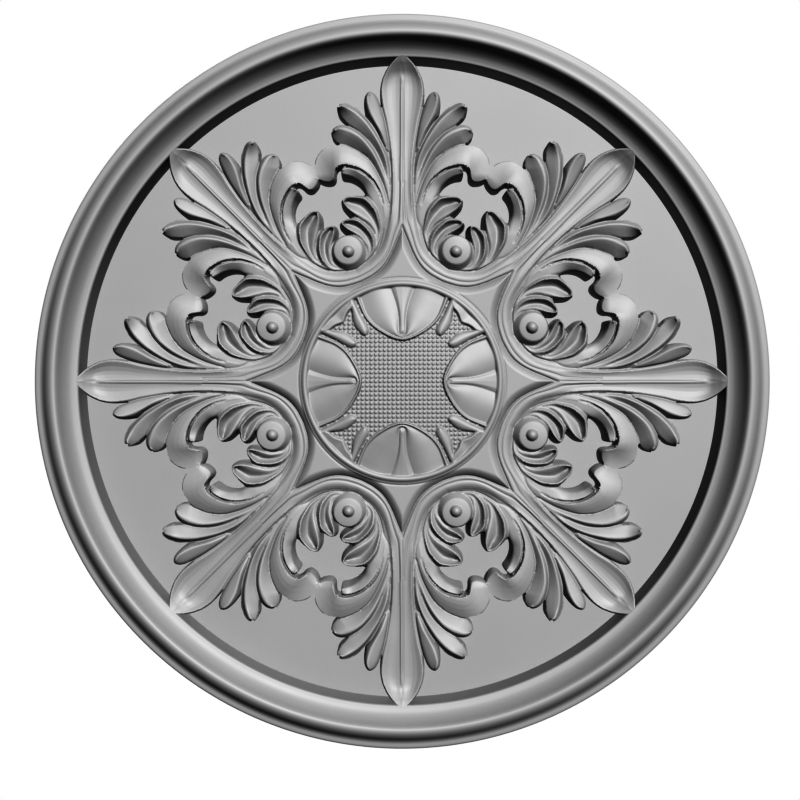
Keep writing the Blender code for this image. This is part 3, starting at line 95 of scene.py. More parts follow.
# Leaves. Rails run from root to tip as (u, v, z): u out along the petal, v to its side.
LEAVES = {
    "leaf_1": dict(
        sides=("STEEP", "FALL"),
        foot=[(230, 13.2, -.2), (240, 13.7, -.2), (250, 15.2, -.4), (262, 17.6, -.4),
              (272, 20.6, -.2), (281, 23.5, -.2), (287, 27.0, -.2), (289.8, 31.5, -.2), (288.9, 35.0, -.5)],
        crest=[(231, 15.5, .3), (240, 17.6, 2.8), (250, 21.5, 5.1), (260, 27.2, 6.3),
               (270, 32.0, 7.5), (279, 34.7, 8.6), (284.5, 34.3, 8.8), (287.0, 32.6, 7.6), (287.2, 32.6, 7.0)],
        edge=[(233, 16.4, .0), (240, 20.3, .6), (250, 25.2, .6), (259, 31.0, -1),
              (267, 36.4, -1), (277, 38.5, -1), (284.5, 37.6, -1), (288.4, 35.3, -1), (289.0, 34.6, -1)]),
    "leaf_2": dict(
        sides=("LIP", "SLOPE"),
        foot=[(184, 11.6, .8), (192, 11.8, 1.3), (200, 12.2, 1.4), (210, 11.8, .6), (220, 12.8, -.4), (230, 16.0, -.5), (240, 20.2, -.8),
              (250, 25.0, -1.6), (258, 30.2, -2.2), (266, 37.0, -2.6), (273, 44.5, -2.8), (277.6, 52.0, -2.8),
              (278.2, 58.0, -2.4), (276.2, 62.8, -2.0)],
        crest=[(184, 12.6, .9), (192, 13.2, 1.5), (200, 14.0, 1.7), (210, 14.3, 2.3), (220, 16.0, 3.4), (230, 19.3, 4.1), (240, 24.0, 4.5),
               (249.4, 29.8, 4.7), (257.6, 35.4, 4.9), (265.0, 42.2, 5.0), (269.8, 48.4, 5.2), (273.0, 55.0, 5.6),
               (274.2, 59.4, 5.8), (272.6, 62.3, 5.4)],
        edge=[(184, 13.6, .9), (192, 14.6, 1.5), (200, 15.6, 1.7), (210, 17.2, 1.0), (220, 20.4, .0), (230, 25.4, -.6), (240, 32.5, -.4),
              (248, 41.0, -.6), (254, 50.0, -.6), (257.6, 55.4, -1.0), (261.8, 59.4, -1.4), (266.4, 62.8, -1.8),
              (270.5, 65.0, -2.0), (274.0, 65.0, -2.2)]),
    "leaf_3": dict(
        sides=("SIDE", "SLOPE"),
        foot=[(172, 11.8, .8), (181, 12.0, 1.4), (190, 12.4, 1.7), (200, 12.9, 1.6), (210, 17.1, .6), (220, 20.4, -.8), (230, 25.3, -1.6),
              (240, 32.3, -1.8), (249, 42.0, -2.0), (254, 50.0, -2.2), (256.6, 57.0, -2.4), (256.6, 63.0, -2.4),
              (254.6, 67.6, -2.2), (251.4, 70.6, -2.2)],
        crest=[(172, 12.8, .9), (181, 13.4, 1.6), (190, 14.5, 1.9), (200, 17.0, 2.1), (210, 20.6, 2.9), (220, 24.9, 3.8), (230, 30.4, 5.1),
               (241.6, 39.2, 6.4), (248.2, 47.8, 6.8), (251.4, 55.2, 6.6), (252.8, 61.5, 6.0), (252.0, 65.8, 5.0),
               (250.2, 67.8, 4.2), (249.4, 68.4, 3.8)],
        edge=[(172, 13.6, .9), (181, 14.4, 1.4), (190, 15.6, 1.6), (200, 19.9, .4), (210, 25.0, -.2), (220, 31.3, -.6), (228, 40.0, -.8),
              (233.5, 49.0, -.9), (236.0, 57.0, -1.2), (237.0, 62.6, -1.6), (238.6, 65.8, -2.4), (242.0, 68.9, -3.0),
              (246.0, 70.9, -3.4), (249.6, 71.4, -3.2)]),
    "hook": dict(
        sides=("ROLL", "DOME"),
        foot=[(152, 15.6, .4), (166, 17.0, 1.9), (180, 19.4, 2.4), (188.6, 23.8, -1), (197.8, 29.0, -5), (204.8, 34.6, -8), (209.6, 41.6, -10),
              (212.8, 50.0, -10), (213.4, 57.0, -12), (212.8, 62.0, -12), (210.4, 65.2, -12), (206.0, 66.0, -12),
              (201.0, 66.1, -12), (197.2, 68.8, -12), (196.3, 73.4, -12), (197.2, 79.2, -12), (199.6, 84.0, -12), (201.0, 88.0, -12)],
        crest=[(152, 16.4, .5), (166, 18.0, 2.1), (180, 20.6, 3.2), (190, 24.0, 3.9), (200, 29.2, 4.3), (207.4, 35.8, 4.8), (212.7, 43.4, 5.2),
               (215.6, 50.8, 5.6), (216.5, 57.0, 6.0), (216.0, 62.8, 6.0), (212.6, 67.0, 5.2), (206.6, 68.7, 3.8),
               (202.4, 69.3, 2.8), (199.7, 72.2, 1.6), (199.9, 77.4, .6), (202.0, 83.8, .2), (203.4, 88.0, .1)],
        edge=[(152, 12.2, .4), (166, 12.8, 1.4), (180, 14.0, 1.6), (190, 16.0, 1.0), (200, 20.0, .4), (210, 25.0, .1), (220, 31.5, 0),
              (226, 38.0, .1), (231, 46.0, .3), (234.6, 54.0, .4), (236.6, 62.0, .2), (236.2, 70.0, .1),
              (233.6, 77.5, .1), (229.0, 82.8, 0), (222.0, 86.8, 0), (214.0, 88.4, 0), (208.0, 89.0, 0)]),
    "curl": dict(
        sides=("ROLL", "FALL3"),
        foot=[(150, 15.8, .1), (160, 16.6, 1.1), (170, 18.0, 1.9), (182, 20.6, 1.8), (190, 23.0, -1), (198, 27.6, -5), (205.6, 33.8, -8),
              (210.8, 41.2, -10), (214.0, 48.6, -10), (215.0, 54.0, -11), (214.6, 58.0, -11), (212.0, 61.0, -11)],
        crest=[(150, 16.4, .1), (160, 17.4, 1.3), (170, 18.6, 2.2), (182, 21.4, 2.9), (190, 24.6, 2.8), (198, 29.4, 3.2), (204.6, 35.8, 4.0),
               (209.2, 42.4, 4.2), (212.0, 48.8, 4.0), (213.0, 53.8, 3.8), (212.4, 57.2, 3.6), (209.8, 60.2, 3.6)],
        edge=[(148, 21.0, -.6), (157, 24.4, -.6), (168, 27.8, -.2), (180, 32.4, .2), (185.2, 36.8, -5),
              (190, 40.0, -16), (194.6, 43.6, -16), (197.7, 47.6, -16), (199.8, 52.2, -16),
              (200.6, 56.6, -16), (201.8, 60.2, -16), (205.4, 61.4, -16)]),
}
# two hollow leaves beside the eye: outer foot, outer crest, hollow, inner rim, inner foot
CUPS = {
    "cup_1": dict(
        foot=[(123, 30.9, -.4), (129, 27.0, -.2), (139, 22.9, .1), (150, 20.8, .2), (160, 21.4, .0),
              (170, 23.4, .0), (178, 27.4, -.2), (183, 32.6, -.2), (185.4, 37.6, -.2), (186, 42.6, -.2),
              (185.8, 47.6, -.2), (185.3, 52.6, -.2), (184.0, 57.0, -.2), (180.8, 60.6, -.2)],
        crest=[(123.4, 31.6, -.3), (129.8, 28.0, .3), (140, 24.2, .8), (150, 22.6, 1.4), (160.2, 23.8, 5.2),
               (169.2, 26.6, 7.0), (175.3, 30.8, 7.8), (180.2, 35.2, 8.0), (182.9, 39.4, 7.8), (183.8, 44.2, 6.9),
               (184.3, 49.0, 7.0), (184.0, 53.4, 7.1), (182.8, 57.0, 7.1), (180.2, 59.6, 7.0)],
        hollow=[(124, 32.2, -.4), (130.6, 29.0, .0), (140.6, 25.8, .1), (150, 24.8, .0), (158.6, 27.4, -.2),
                (164.8, 31.4, -.8), (169.0, 34.8, -1.6), (173.0, 38.6, -2.2), (175.4, 42.0, -2.5),
                (176.8, 46.0, -2.5), (177.8, 50.4, -1.9), (179.0, 54.0, -1.8), (178.8, 56.4, -.9), (178.8, 58.6, 6.2)],
        rim=[(124.4, 32.6, -.4), (131, 29.8, .1), (140.6, 27.0, .3), (149, 26.4, .5), (156, 30.0, 1.2),
             (160.4, 34.4, 2.2), (163.4, 39.0, 3.0), (165.6, 43.0, 3.6), (167.6, 47.0, 4.0), (169.8, 50.6, 4.4),
             (171.6, 53.0, 4.8), (173.6, 55.2, 5.2), (176.0, 57.0, 5.8), (178.6, 58.6, 6.4)],
        edge=[(124.8, 33.2, -.5), (131.2, 30.8, -.4), (140, 28.2, -.3), (148, 27.8, -.3), (154, 31.6, -.3),
              (158, 36.4, -.3), (160.6, 41.6, -.3), (162.4, 46.0, -3), (163.4, 50.2, -10), (164.6, 53.2, -20),
              (166.4, 55.6, -22), (170.0, 58.8, -24), (174.6, 61.0, -24), (179.6, 61.6, -20)]),
    "cup_2": dict(
        foot=[(119, 36.5, -.4), (122.6, 31.6, -.1), (128, 27.6, .2), (136, 25.8, .2), (145, 27.4, .0),
              (153, 31.8, -.2), (159, 38.0, -.2), (163.6, 44.0, -.2), (164.2, 49.0, -.2), (163, 53.6, -.2),
              (161.6, 58.0, -.2), (158.2, 62.2, -.2)],
        crest=[(120.4, 37.6, -.3), (124.4, 33.2, .5), (130, 29.8, 1.6), (137, 29.2, 3.2), (145.4, 30.8, 5.8),
               (151.8, 35.2, 6.6), (156.5, 40.0, 6.8), (160.0, 45.0, 6.8), (161.2, 49.4, 6.6), (160.8, 53.2, 6.0),
               (160.2, 57.4, 6.2), (157.8, 60.9, 6.2)],
        hollow=[(121.4, 38.4, -.4), (126, 34.8, .0), (131, 31.8, .3), (137, 32.2, .3), (143, 34.6, -.4),
                (147.6, 38.0, -1.0), (151, 41.2, -1.6), (153.8, 45.0, -1.8), (155.4, 49.0, -1.6), (157.0, 52.6, -1.6),
                (157.4, 56.6, -.9), (156.8, 59.4, 5.4)],
        rim=[(122, 39.2, -.4), (126.2, 35.8, .1), (130, 33.4, .7), (134.4, 33.6, 1.2), (138.4, 36.0, 1.8),
             (142, 38.6, 2.4), (144.8, 41.2, 2.8), (146.8, 44.6, 3.2), (148.8, 48.6, 3.6), (151.2, 53.2, 4.2),
             (153.6, 56.8, 4.8), (156.2, 59.6, 5.6)],
        edge=[(122.6, 40.0, -.5), (126, 37.2, -.4), (129, 35.8, -.3), (133.4, 36.4, -.3), (136.8, 39.0, -.3),
              (139.6, 42.2, -.3), (141.8, 46.0, -4), (143.6, 50.0, -12), (145.4, 53.4, -20), (147.4, 57.4, -24),
              (151.4, 61.2, -24), (156.6, 63.0, -20)]),
}
# petal and the bands that join the petals inside the eyes:
# (axis or groove), inner step, rim, outer foot, with the height of each
BANDS = [
    ((99.6, 41.3, 3.5), (103.8, 43.0, 3.1), (110.2, 45.6, 1.1), (112.3, 46.5, -.2)),
    ((102.5, 35.5, 3.5), (106.8, 37.0, 3.1), (114.4, 39.2, 1.1), (116.8, 40.2, -.2)),
    ((106.5, 28.5, 3.5), (111.0, 30.0, 3.1), (119.2, 32.4, 1.1), (121.4, 34.0, -.2)),
    ((112.5, 21.3, 3.6), (117.0, 23.0, 3.1), (126.6, 25.4, 1.2), (129.0, 27.2, -.2)),
    ((120.0, 15.6, 3.7), (124.0, 17.4, 3.2), (134.0, 20.6, 1.3), (137.0, 22.8, .0)),
    ((130.0, 10.4, 3.8), (133.0, 13.2, 3.3), (143.0, 17.0, 1.5), (146.0, 20.0, .2)),
    ((141.0, 5.9, 3.9), (144.0, 10.0, 3.4), (152.0, 14.6, 1.9), (154.0, 18.0, .6)),
    ((150.0, 2.2, 4.0), (153.0, 7.2, 3.4), (160.0, 12.6, 2.5), (161.0, 15.0, 1.0)),
    ((156.0, 0.0, 4.1), (161.0, 4.6, 3.2), (167.0, 11.2, 3.2), (168.0, 13.4, 1.6)),
    ((168.0, 0.0, 4.3), (171.0, 3.6, 3.0), (176.0, 10.4, 3.7), (176.5, 12.4, 1.8)),
    ((185.0, 0.0, 4.1), (185.0, 2.8, 2.5), (185.0, 9.8, 3.8), (185.0, 11.8, 1.8)),
    ((200.0, 0.0, 3.2), (200.0, 2.6, 1.7), (200.0, 9.4, 3.1), (200.0, 11.4, 1.6)),
    ((220.0, 0.0, 1.7), (220.0, 2.4, .3), (220.0, 10.2, 1.4), (220.0, 12.2, -.2)),
    ((240.0, 0.0, .5), (240.0, 2.2, -1.0), (240.0, 12.0, .1), (240.0, 13.7, -.3)),
    ((260.0, 0.0, .0), (260.0, 2.2, -1.5), (260.0, 15.2, .2), (260.0, 17.2, -.3)),
    ((275.0, 0.0, -.4), (275.0, 2.2, -1.9), (275.0, 18.8, .5), (275.0, 20.8, -.4)),
    ((290.0, 0.0, -1.0), (290.0, 2.0, -2.2), (290.0, 20.9, .9), (290.0, 22.4, -.4)),
    ((300.0, 0.0, -1.1), (300.0, 1.8, -2.0), (300.0, 19.6, 1.4), (300.0, 21.0, -.2)),
    ((308.0, 0.0, -.9), (308.0, 1.6, -.7), (308.0, 16.4, 2.5), (308.5, 17.8, 1.0)),
    ((315.0, 0.0, 2.6), (315.0, 1.4, 2.7), (315.0, 12.5, 4.2), (315.8, 13.6, 2.6)),
    ((320.5, 0.0, 6.2), (320.5, 1.0, 6.0), (320.8, 8.0, 6.4), (321.4, 8.8, 5.2)),
    ((327.4, 0.0, 9.4), (327.4, 0.4, 9.4), (327.4, 1.6, 9.0), (327.6, 2.4, 8.6)),
]
# free edges in plan, where the leafwork drops to the ground
OUTER_EDGE = [(317.5, 3.0), (313.6, 7.6), (308.6, 13.1), (301.8, 17.2), (293.7, 20.4), (284.1, 21.7),
              (275.6, 21.5), (270.6, 20.8), None,
              (275.3, 23.0), (280.8, 26.7), (283.2, 30.8), (282.0, 34.2), (277.9, 36.7),
              (270.1, 37.5), (262.4, 36.2), (257.4, 32.9), (253.6, 30.6), None,
              (260.6, 36.8), (267.3, 43.6), (271.4, 50.9), (272.0, 56.8), (270.0, 61.6), (266.0, 63.8),
              (262.2, 62.6), (259.2, 60.4), (256.6, 57.6), (253.6, 54.6), (250.6, 52.6), None,
              (251.2, 56.6), (251.1, 61.0), (249.4, 65.6), (246.3, 68.6), (242.6, 69.7),
              (239.6, 68.8), (237.0, 66.9), (234.4, 64.6), (232.0, 63.2), None,
              (231.8, 66.8), (230.5, 72.5), (227.3, 77.9), (222.4, 82.3), (216.5, 85.0), (209.7, 85.6),
              (204.0, 84.5)]
# fine groove beside the inner edge of the second leaf
VEIN = [(214.0, 20.2, .6), (222.0, 23.4, .2), (232.0, 28.6, -.2), (240.0, 34.4, -.2), (247.4, 41.4, -.2), (252.8, 48.6, 0),
        (256.4, 54.4, 0), (258.6, 57.8, -.4)]
# folds between the hook and the third leaf, and behind the slot
FOLD = [(178.0, 13.8, 1.4), (190.0, 17.2, 1.2), (200.0, 20.8, .6), (210.0, 25.6, 0), (218.0, 30.4, 0), (224.0, 35.4, 0), (228.5, 41.0, 0)]
SEAM = [(177.0, 18.6, 3), (183.0, 20.2, 3.5), (190.0, 22.6, 4), (196.0, 25.7, 4.3), (200.4, 28.5, 4.5), (205.2, 32.9, 4.6),
        (209.9, 38.9, 5), (213.2, 45.6, 5), (215.2, 52.0, 5.4), (215.9, 57.0, 5.6)]
# the narrow slot between the curl and the hook, in plan
SLOT = [(187.0, 24.0), (195.2, 28.2), (202.0, 34.6), (206.6, 41.4), (209.2, 49.0), (210.0, 55.4), (209.8, 60.0)]
POCKET_EDGE = [(196.8, 81.5), (195.0, 78.0), (194.2, 74.0), (194.3, 70.0), (196.0, 67.0), (199.6, 65.3),
               (205.0, 65.1), (208.6, 63.8), (210.0, 61.4), (208.8, 59.6), None,
               (204.4, 59.6), (201.0, 59.6), (199.2, 57.6), (198.5, 53.0), (196.9, 48.2), (194.0, 43.4),
               (190.6, 39.8), (187.0, 37.3), (183.0, 36.2), None,
               (183.0, 43.0), (183.2, 49.0), (181.9, 55.3), (179.2, 58.8), (175.4, 60.1), (171.4, 59.3),
               (168.2, 57.2), (165.0, 54.4), (162.0, 51.4), (159.4, 49.4), None,
               (160.1, 53.4), (159.5, 57.4), (157.4, 60.6), (154.4, 62.0), (151.4, 61.6),
               (148.6, 59.6), (146.4, 57.2), (144.6, 54.8), (143.4, 53.0), None,
               (143.4, 55.4), (142.6, 57.4), (141.5, 58.6)]


# ---------------------------------------------------------------- relief of one half repeat
STEP = 0.4
U_LO, U_HI, V_LO, V_HI = 88.0, 326.0, -6.0, 142.0
NU = int((U_HI - U_LO) / STEP) + 1
NV = int((V_HI - V_LO) / STEP) + 1


def ramp(table, x):
    t = np.asarray(table, float)
    return np.interp(x, t[:, 0], t[:, 1])


def lay(top, x, y, z):
    """Lay a fine parametric patch on the height grid, keeping whatever is higher."""
    gi = np.gradient(np.stack([x, y, z]), axis=1)
    gj = np.gradient(np.stack([x, y, z]), axis=2)
    det = gi[0] * gj[1] - gi[1] * gj[0]
    det = np.where(np.abs(det) < 1e-6, 1e-6, det)
    zx = np.clip((gi[2] * gj[1] - gi[1] * gj[2]) / det, -8, 8)
    zy = np.clip((gi[0] * gj[2] - gi[2] * gj[0]) / det, -8, 8)
    cu = np.rint((x - U_LO) / STEP).astype(int)
    cv = np.rint((y - V_LO) / STEP).astype(int)
    ok = (cu >= 0) & (cu < NU) & (cv >= 0) & (cv < NV)
    zc = z + zx * (U_LO + cu * STEP - x) + zy * (V_LO + cv * STEP - y)
    np.maximum.at(top, (cv[ok], cu[ok]), zc[ok])


def rail(points, n):
    """A guide rail in plan; its root sinks a little so that it grows out of what lies beneath."""
    line = even([plan(*p) for p in points], n)
    line[:, 2] -= 0.9 * np.clip(1 - np.linspace(0, 1, n) / 0.12, 0, 1) ** 2
    return line


def span(a, b, shape, m):
    """Points from rail a to rail b; the height follows the section shape."""
    q = np.linspace(0, 1, m)[None, :, None]
    w = ramp(shape, q[..., 0])[..., None]
    xy = a[:, None, :2] * (1 - q) + b[:, None, :2] * q
    z = a[:, None, 2:] * (1 - w) + b[:, None, 2:] * w
    return np.moveaxis(np.concatenate([xy, z], 2), 2, 0)


def flip(shape):
    return [(a, 1 - b) for a, b in shape]


SECTIONS = {"STEEP": STEEP, "SIDE": SIDE, "LIP": LIP, "ROLL": ROLL, "SLOPE": flip(EASY), "DOME": flip(DOME),
            "FALL": [(0, 0), (0.2, 0.03), (0.4, 0.14), (0.7, 0.48), (1, 1)],
            "FALL3": [(0, 0), (.1, .02), (.35, .1), (.6, .2), (.75, .3), (.88, .6), (1, 1)],
            "FALL2": [(0, 0), (0.1, 0.03), (0.35, 0.28), (0.7, 0.72), (0.88, 0.92), (1, 1)]}


def relief_grid(fine=1.0):
    top = np.full((NV, NU), -30.0)
    cups = np.full((NV, NU), -30.0)
    n, m = int(420 * fine), int(70 * fine)
    for leaf in LEAVES.values():
        foot, crest, edge = (rail(leaf[k], n) for k in ("foot", "crest", "edge"))
        lay(top, *span(foot, crest, SECTIONS[leaf["sides"][0]], m))
        lay(top, *span(crest, edge, SECTIONS[leaf["sides"][1]], m + m // 2))
    for cup in CUPS.values():
        foot, crest, hollow, rim, edge = (spline([plan(*p) for p in cup[k]], n)
                                          for k in ("foot", "crest", "hollow", "rim", "edge"))
        lay(cups, *span(foot, crest, [(0, 0), (.1, .12), (.85, .9), (1, 1)], m))
        lay(cups, *span(crest, hollow, [(0, 0), (.08, .1), (.35, .5), (.7, .85), (1, 1)], m))
        lay(cups, *span(hollow, rim, [(0, 0), (.2, .16), (.6, .72), (.85, .97), (1, 1)], m))
        lay(cups, *span(rim, edge, [(0, 0), (.2, .05), (.5, .22), (1, 1)], m))
    # petals and bands
    guides = [spline([plan(*row[k]) for row in BANDS], int(900 * fine)) for k in range(4)]
    axis, inner, rim, foot = guides
    lay(top, *span(axis, inner, [(0, 0), (0.6, 0.08), (0.85, 0.7), (1, 1)], m))
    lay(top, *span(inner, rim, HOLLOW, m))
    lay(top, *span(rim, foot, [(0, 0), (0.12, 0.5), (0.3, 0.84), (1, 1)], m))
    return np.maximum(top, cups), cups > -29.0


# ---------------------------------------------------------------- sampling
def sample(grid, x, y, lo_x, lo_y, step):
    i = np.clip((np.asarray(y) - lo_y) / step, 0, grid.shape[0] - 1.001)
    j = np.clip((np.asarray(x) - lo_x) / step, 0, grid.shape[1] - 1.001)
    i0, j0 = i.astype(int), j.astype(int)
    fi, fj = i - i0, j - j0
    return ((grid[i0, j0] * (1 - fj) + grid[i0, j0 + 1] * fj) * (1 - fi)
            + (grid[i0 + 1, j0] * (1 - fj) + grid[i0 + 1, j0 + 1] * fj) * fi)


# ---------------------------------------------------------------- centre medallion, one eighth
BOSS = dict(r=136.6, radius=17.6, top_r=138.5, top=14.0, eye_r=136.9, eye=5.6)
RING_SECTION = [(91.2, 7.4), (92.1, 9.3), (93.1, 11.2), (94.4, 12.0), (96.0, 12.0), (97.2, 11.1), (98.2, 9.7),
                (99.0, 9.3), (100.2, 9.2), (100.9, 8.1), (101.6, 8.4), (102.4, 9.4)]
CENTRE = 11.0        # level of the medallion's ring above the leafwork face
SHELL = dict(
    foot=[(40.2, -1, 3.0), (40.8, 4, 2.8), (42.4, 9.5, 2.4), (45.4, 16.0, 1.6), (49.4, 23.0, .6), (53.8, 29.2, -.4),
          (59.5, 35.2, -1.6), (66.0, 39.4, -2.4), (74.0, 43.0, -3.4), (81.0, 46.2, -4.2), (88.0, 49.4, -4.8)],
    crest=[(42.0, -1, 8.8), (42.4, 4, 8.4), (44.2, 9.5, 7.4), (47.2, 16.0, 6.2), (51.2, 22.8, 4.8), (55.8, 28.8, 3.6),
           (61.0, 33.9, 2.4), (67.2, 38.0, 1.4), (74.8, 41.3, .4), (81.8, 44.0, -.4), (89.0, 46.6, -.8)],
    inner=[(43.6, -1, 4.4), (44.2, 4, 4.2), (46.0, 9.5, 3.8), (49.0, 15.8, 3.2), (53.2, 22.3, 2.2), (57.8, 28.3, 1.2),
           (62.7, 32.5, .2), (68.6, 36.2, -.8), (75.8, 39.0, -1.8), (82.6, 41.2, -2.8), (90.0, 43.4, -3.2)],
    groove=[(44.6, -1, 4.4), (47.0, 3.0, 3.0), (51.0, 3.6, 2.3), (56.0, 3.4, 1.6), (62.0, 3.4, .9), (70.0, 4.3, -.1),
            (76.0, 5.6, -1.0), (82.0, 7.4, -1.9), (88.0, 9.6, -2.7), (94.0, 12.0, -3.3), (99.0, 14.0, -3.6)],
)
FINGER = dict(
    low=[(45.2, 36.6, -.6), (47.0, 34.2, -1), (50.4, 32.8, -1.2), (54.4, 33.8, -1.4), (60.0, 37.0, -1.8),
         (67.0, 41.2, -2.6), (75.0, 45.0, -3.4), (85.0, 49.6, -4.4)],
    crest=[(47.4, 37.6, 3.4), (48.8, 37.8, 4.2), (51.6, 38.6, 4.3), (56.0, 40.6, 3.8), (62.0, 43.6, 2.8),
           (68.5, 46.4, 1.8), (76.0, 49.6, .9), (85.0, 53.2, .0)],
    high=[(45.0, 38.0, -.4), (45.8, 39.6, -.4), (48.6, 42.8, -.5), (52.6, 46.0, -.8), (57.4, 48.6, -1.4),
          (63.5, 49.9, -2.0), (71.0, 50.9, -2.6), (80.0, 55.0, -2.0)],
)
WEB = dict(
    inner=[(57.6, 58.4, -1.6), (60.8, 57.4, -1.8), (65.4, 55.5, -2.2), (69.0, 53.2, -2.8), (71.2, 51.2, -3.2),
           (75.0, 49.0, -2.6)],
    crest=[(59.4, 60.8, .6), (62.2, 59.2, .8), (67.0, 57.5, 1.0), (71.0, 54.9, 1.2), (73.8, 52.4, 1.2),
           (78.0, 50.6, 1.0)],
    outer=[(69.5, 70.5, -2.8), (71.5, 67.5, -2.6), (74.5, 64.5, -2.2), (78.5, 60.5, -1.8), (82.0, 56.5, -1.4),
           (86.5, 52.0, -1.0)],
)
ROUND = [(0, 0), (.08, .36), (.22, .62), (.45, .85), (.72, .97), (1, 1)]
MSTEP = 0.4
M_HI, M_W = 108.0, 84.0
MU = int((M_HI + 6.0) / MSTEP) + 1
MV = int((M_W + 6.0) / MSTEP) + 1


def lay_m(top, x, y, z):
    gi = np.gradient(np.stack([x, y, z]), axis=1)
    gj = np.gradient(np.stack([x, y, z]), axis=2)
    det = gi[0] * gj[1] - gi[1] * gj[0]
    det = np.where(np.abs(det) < 1e-6, 1e-6, det)
    zx = np.clip((gi[2] * gj[1] - gi[1] * gj[2]) / det, -4, 4)
    zy = np.clip((gi[0] * gj[2] - gi[2] * gj[0]) / det, -4, 4)
    cu = np.rint((x + 6.0) / MSTEP).astype(int)
    cv = np.rint((y + 6.0) / MSTEP).astype(int)
    ok = (cu >= 0) & (cu < MU) & (cv >= 0) & (cv < MV)
    zc = z + zx * (cu * MSTEP - 6.0 - x) + zy * (cv * MSTEP - 6.0 - y)
    np.maximum.at(top, (cv[ok], cu[ok]), zc[ok])


def rail_m(points, n):
    return even([plan(p[0], p[1], p[2] + CENTRE) for p in points], n)


def bead_field(x, y):
    return CENTRE + 3.3 - 6.6 * (x * x + y * y) / 86.0 ** 2


def medallion_grid(fine=1.0):
    x = np.arange(MU)[None, :] * MSTEP - 6.0
    y = np.arange(MV)[:, None] * MSTEP - 6.0
    top = bead_field(x, y) + 0 * x * y
    n, m = int(360 * fine), int(60 * fine)
    foot, crest, inner, groove = (rail_m(SHELL[k], n) for k in ("foot", "crest", "inner", "groove"))
    lay_m(top, *span(foot, crest, ROLL, m))
    lay_m(top, *span(crest, inner, flip([(0, 1), (.25, .94), (.5, .6), (.8, .08), (1, 0)]), m))
    # the two pillowy lobes between the raised rim and the rib
    q = np.linspace(0, 1, 2 * m)[None, :, None]
    xy = inner[:, None, :2] * (1 - q) + groove[:, None, :2] * q
    z = inner[:, None, 2:] * (1 - q) + groove[:, None, 2:] * q + 2.3 * np.sin(np.pi * q ** 1.2) ** 0.85
    lay_m(top, *np.moveaxis(np.concatenate([xy, z], 2), 2, 0))
    spine = [(p[0], -1.0, p[2] + (2.2 if i > 1 else 0.5)) for i, p in enumerate(SHELL["groove"])]
    lay_m(top, *span(groove, rail_m(spine, n), [(0, 0), (.18, .5), (.4, .88), (1, 1)], m))
    low, crest, high = (rail_m(FINGER[k], n) for k in ("low", "crest", "high"))
    lay_m(top, *span(low, crest, ROUND, m))
    lay_m(top, *span(high, crest, ROUND, m))
    inner, crest, outer = (rail_m(WEB[k], n) for k in ("inner", "crest", "outer"))
    lay_m(top, *span(inner, crest, ROLL, m))
    lay_m(top, *span(crest, outer, LINE, m))
    r = np.hypot(x, y)
    ring = np.where(r > 91.2, ramp(RING_SECTION, r), -9)
    return np.maximum(top, ring)


def soften(grid):
    """One light pass of averaging, as a casting softens its pattern."""
    g = np.pad(grid, 1, mode="edge")
    g = (g[:-2] + 2 * g[1:-1] + g[2:]) / 4
    return (g[:, :-2] + 2 * g[:, 1:-1] + g[:, 2:]) / 4


def near_line(line, reach, signed=False):
    """Distance from the grid's points to a line, up to reach; negative on its right if signed."""
    best = np.full((NV, NU), float(reach))
    right = np.zeros((NV, NU), bool)
    gx, gy = U_LO + np.arange(NU) * STEP, V_LO + np.arange(NV) * STEP
    for a, b in zip(line[:-1], line[1:]):
        i0, i1 = (int((v - U_LO) / STEP) for v in (min(a[0], b[0]) - reach, max(a[0], b[0]) + reach))
        j0, j1 = (int((v - V_LO) / STEP) for v in (min(a[1], b[1]) - reach, max(a[1], b[1]) + reach))
        i0, j0, i1, j1 = max(i0, 0), max(j0, 0), min(i1 + 2, NU), min(j1 + 2, NV)
        if i0 >= i1 or j0 >= j1:
            continue
        x, y = gx[None, i0:i1], gy[j0:j1, None]
        d = b - a
        t = np.clip(((x - a[0]) * d[0] + (y - a[1]) * d[1]) / max(d @ d, 1e-9), 0, 1)
        away = np.hypot(x - a[0] - t * d[0], y - a[1] - t * d[1])
        nearer = away < best[j0:j1, i0:i1]
        side = d[0] * (y - a[1]) - d[1] * (x - a[0]) < 0
        right[j0:j1, i0:i1] = np.where(nearer, side, right[j0:j1, i0:i1])
        best[j0:j1, i0:i1] = np.where(nearer, away, best[j0:j1, i0:i1])
    return np.where(right, -best, best) if signed else best


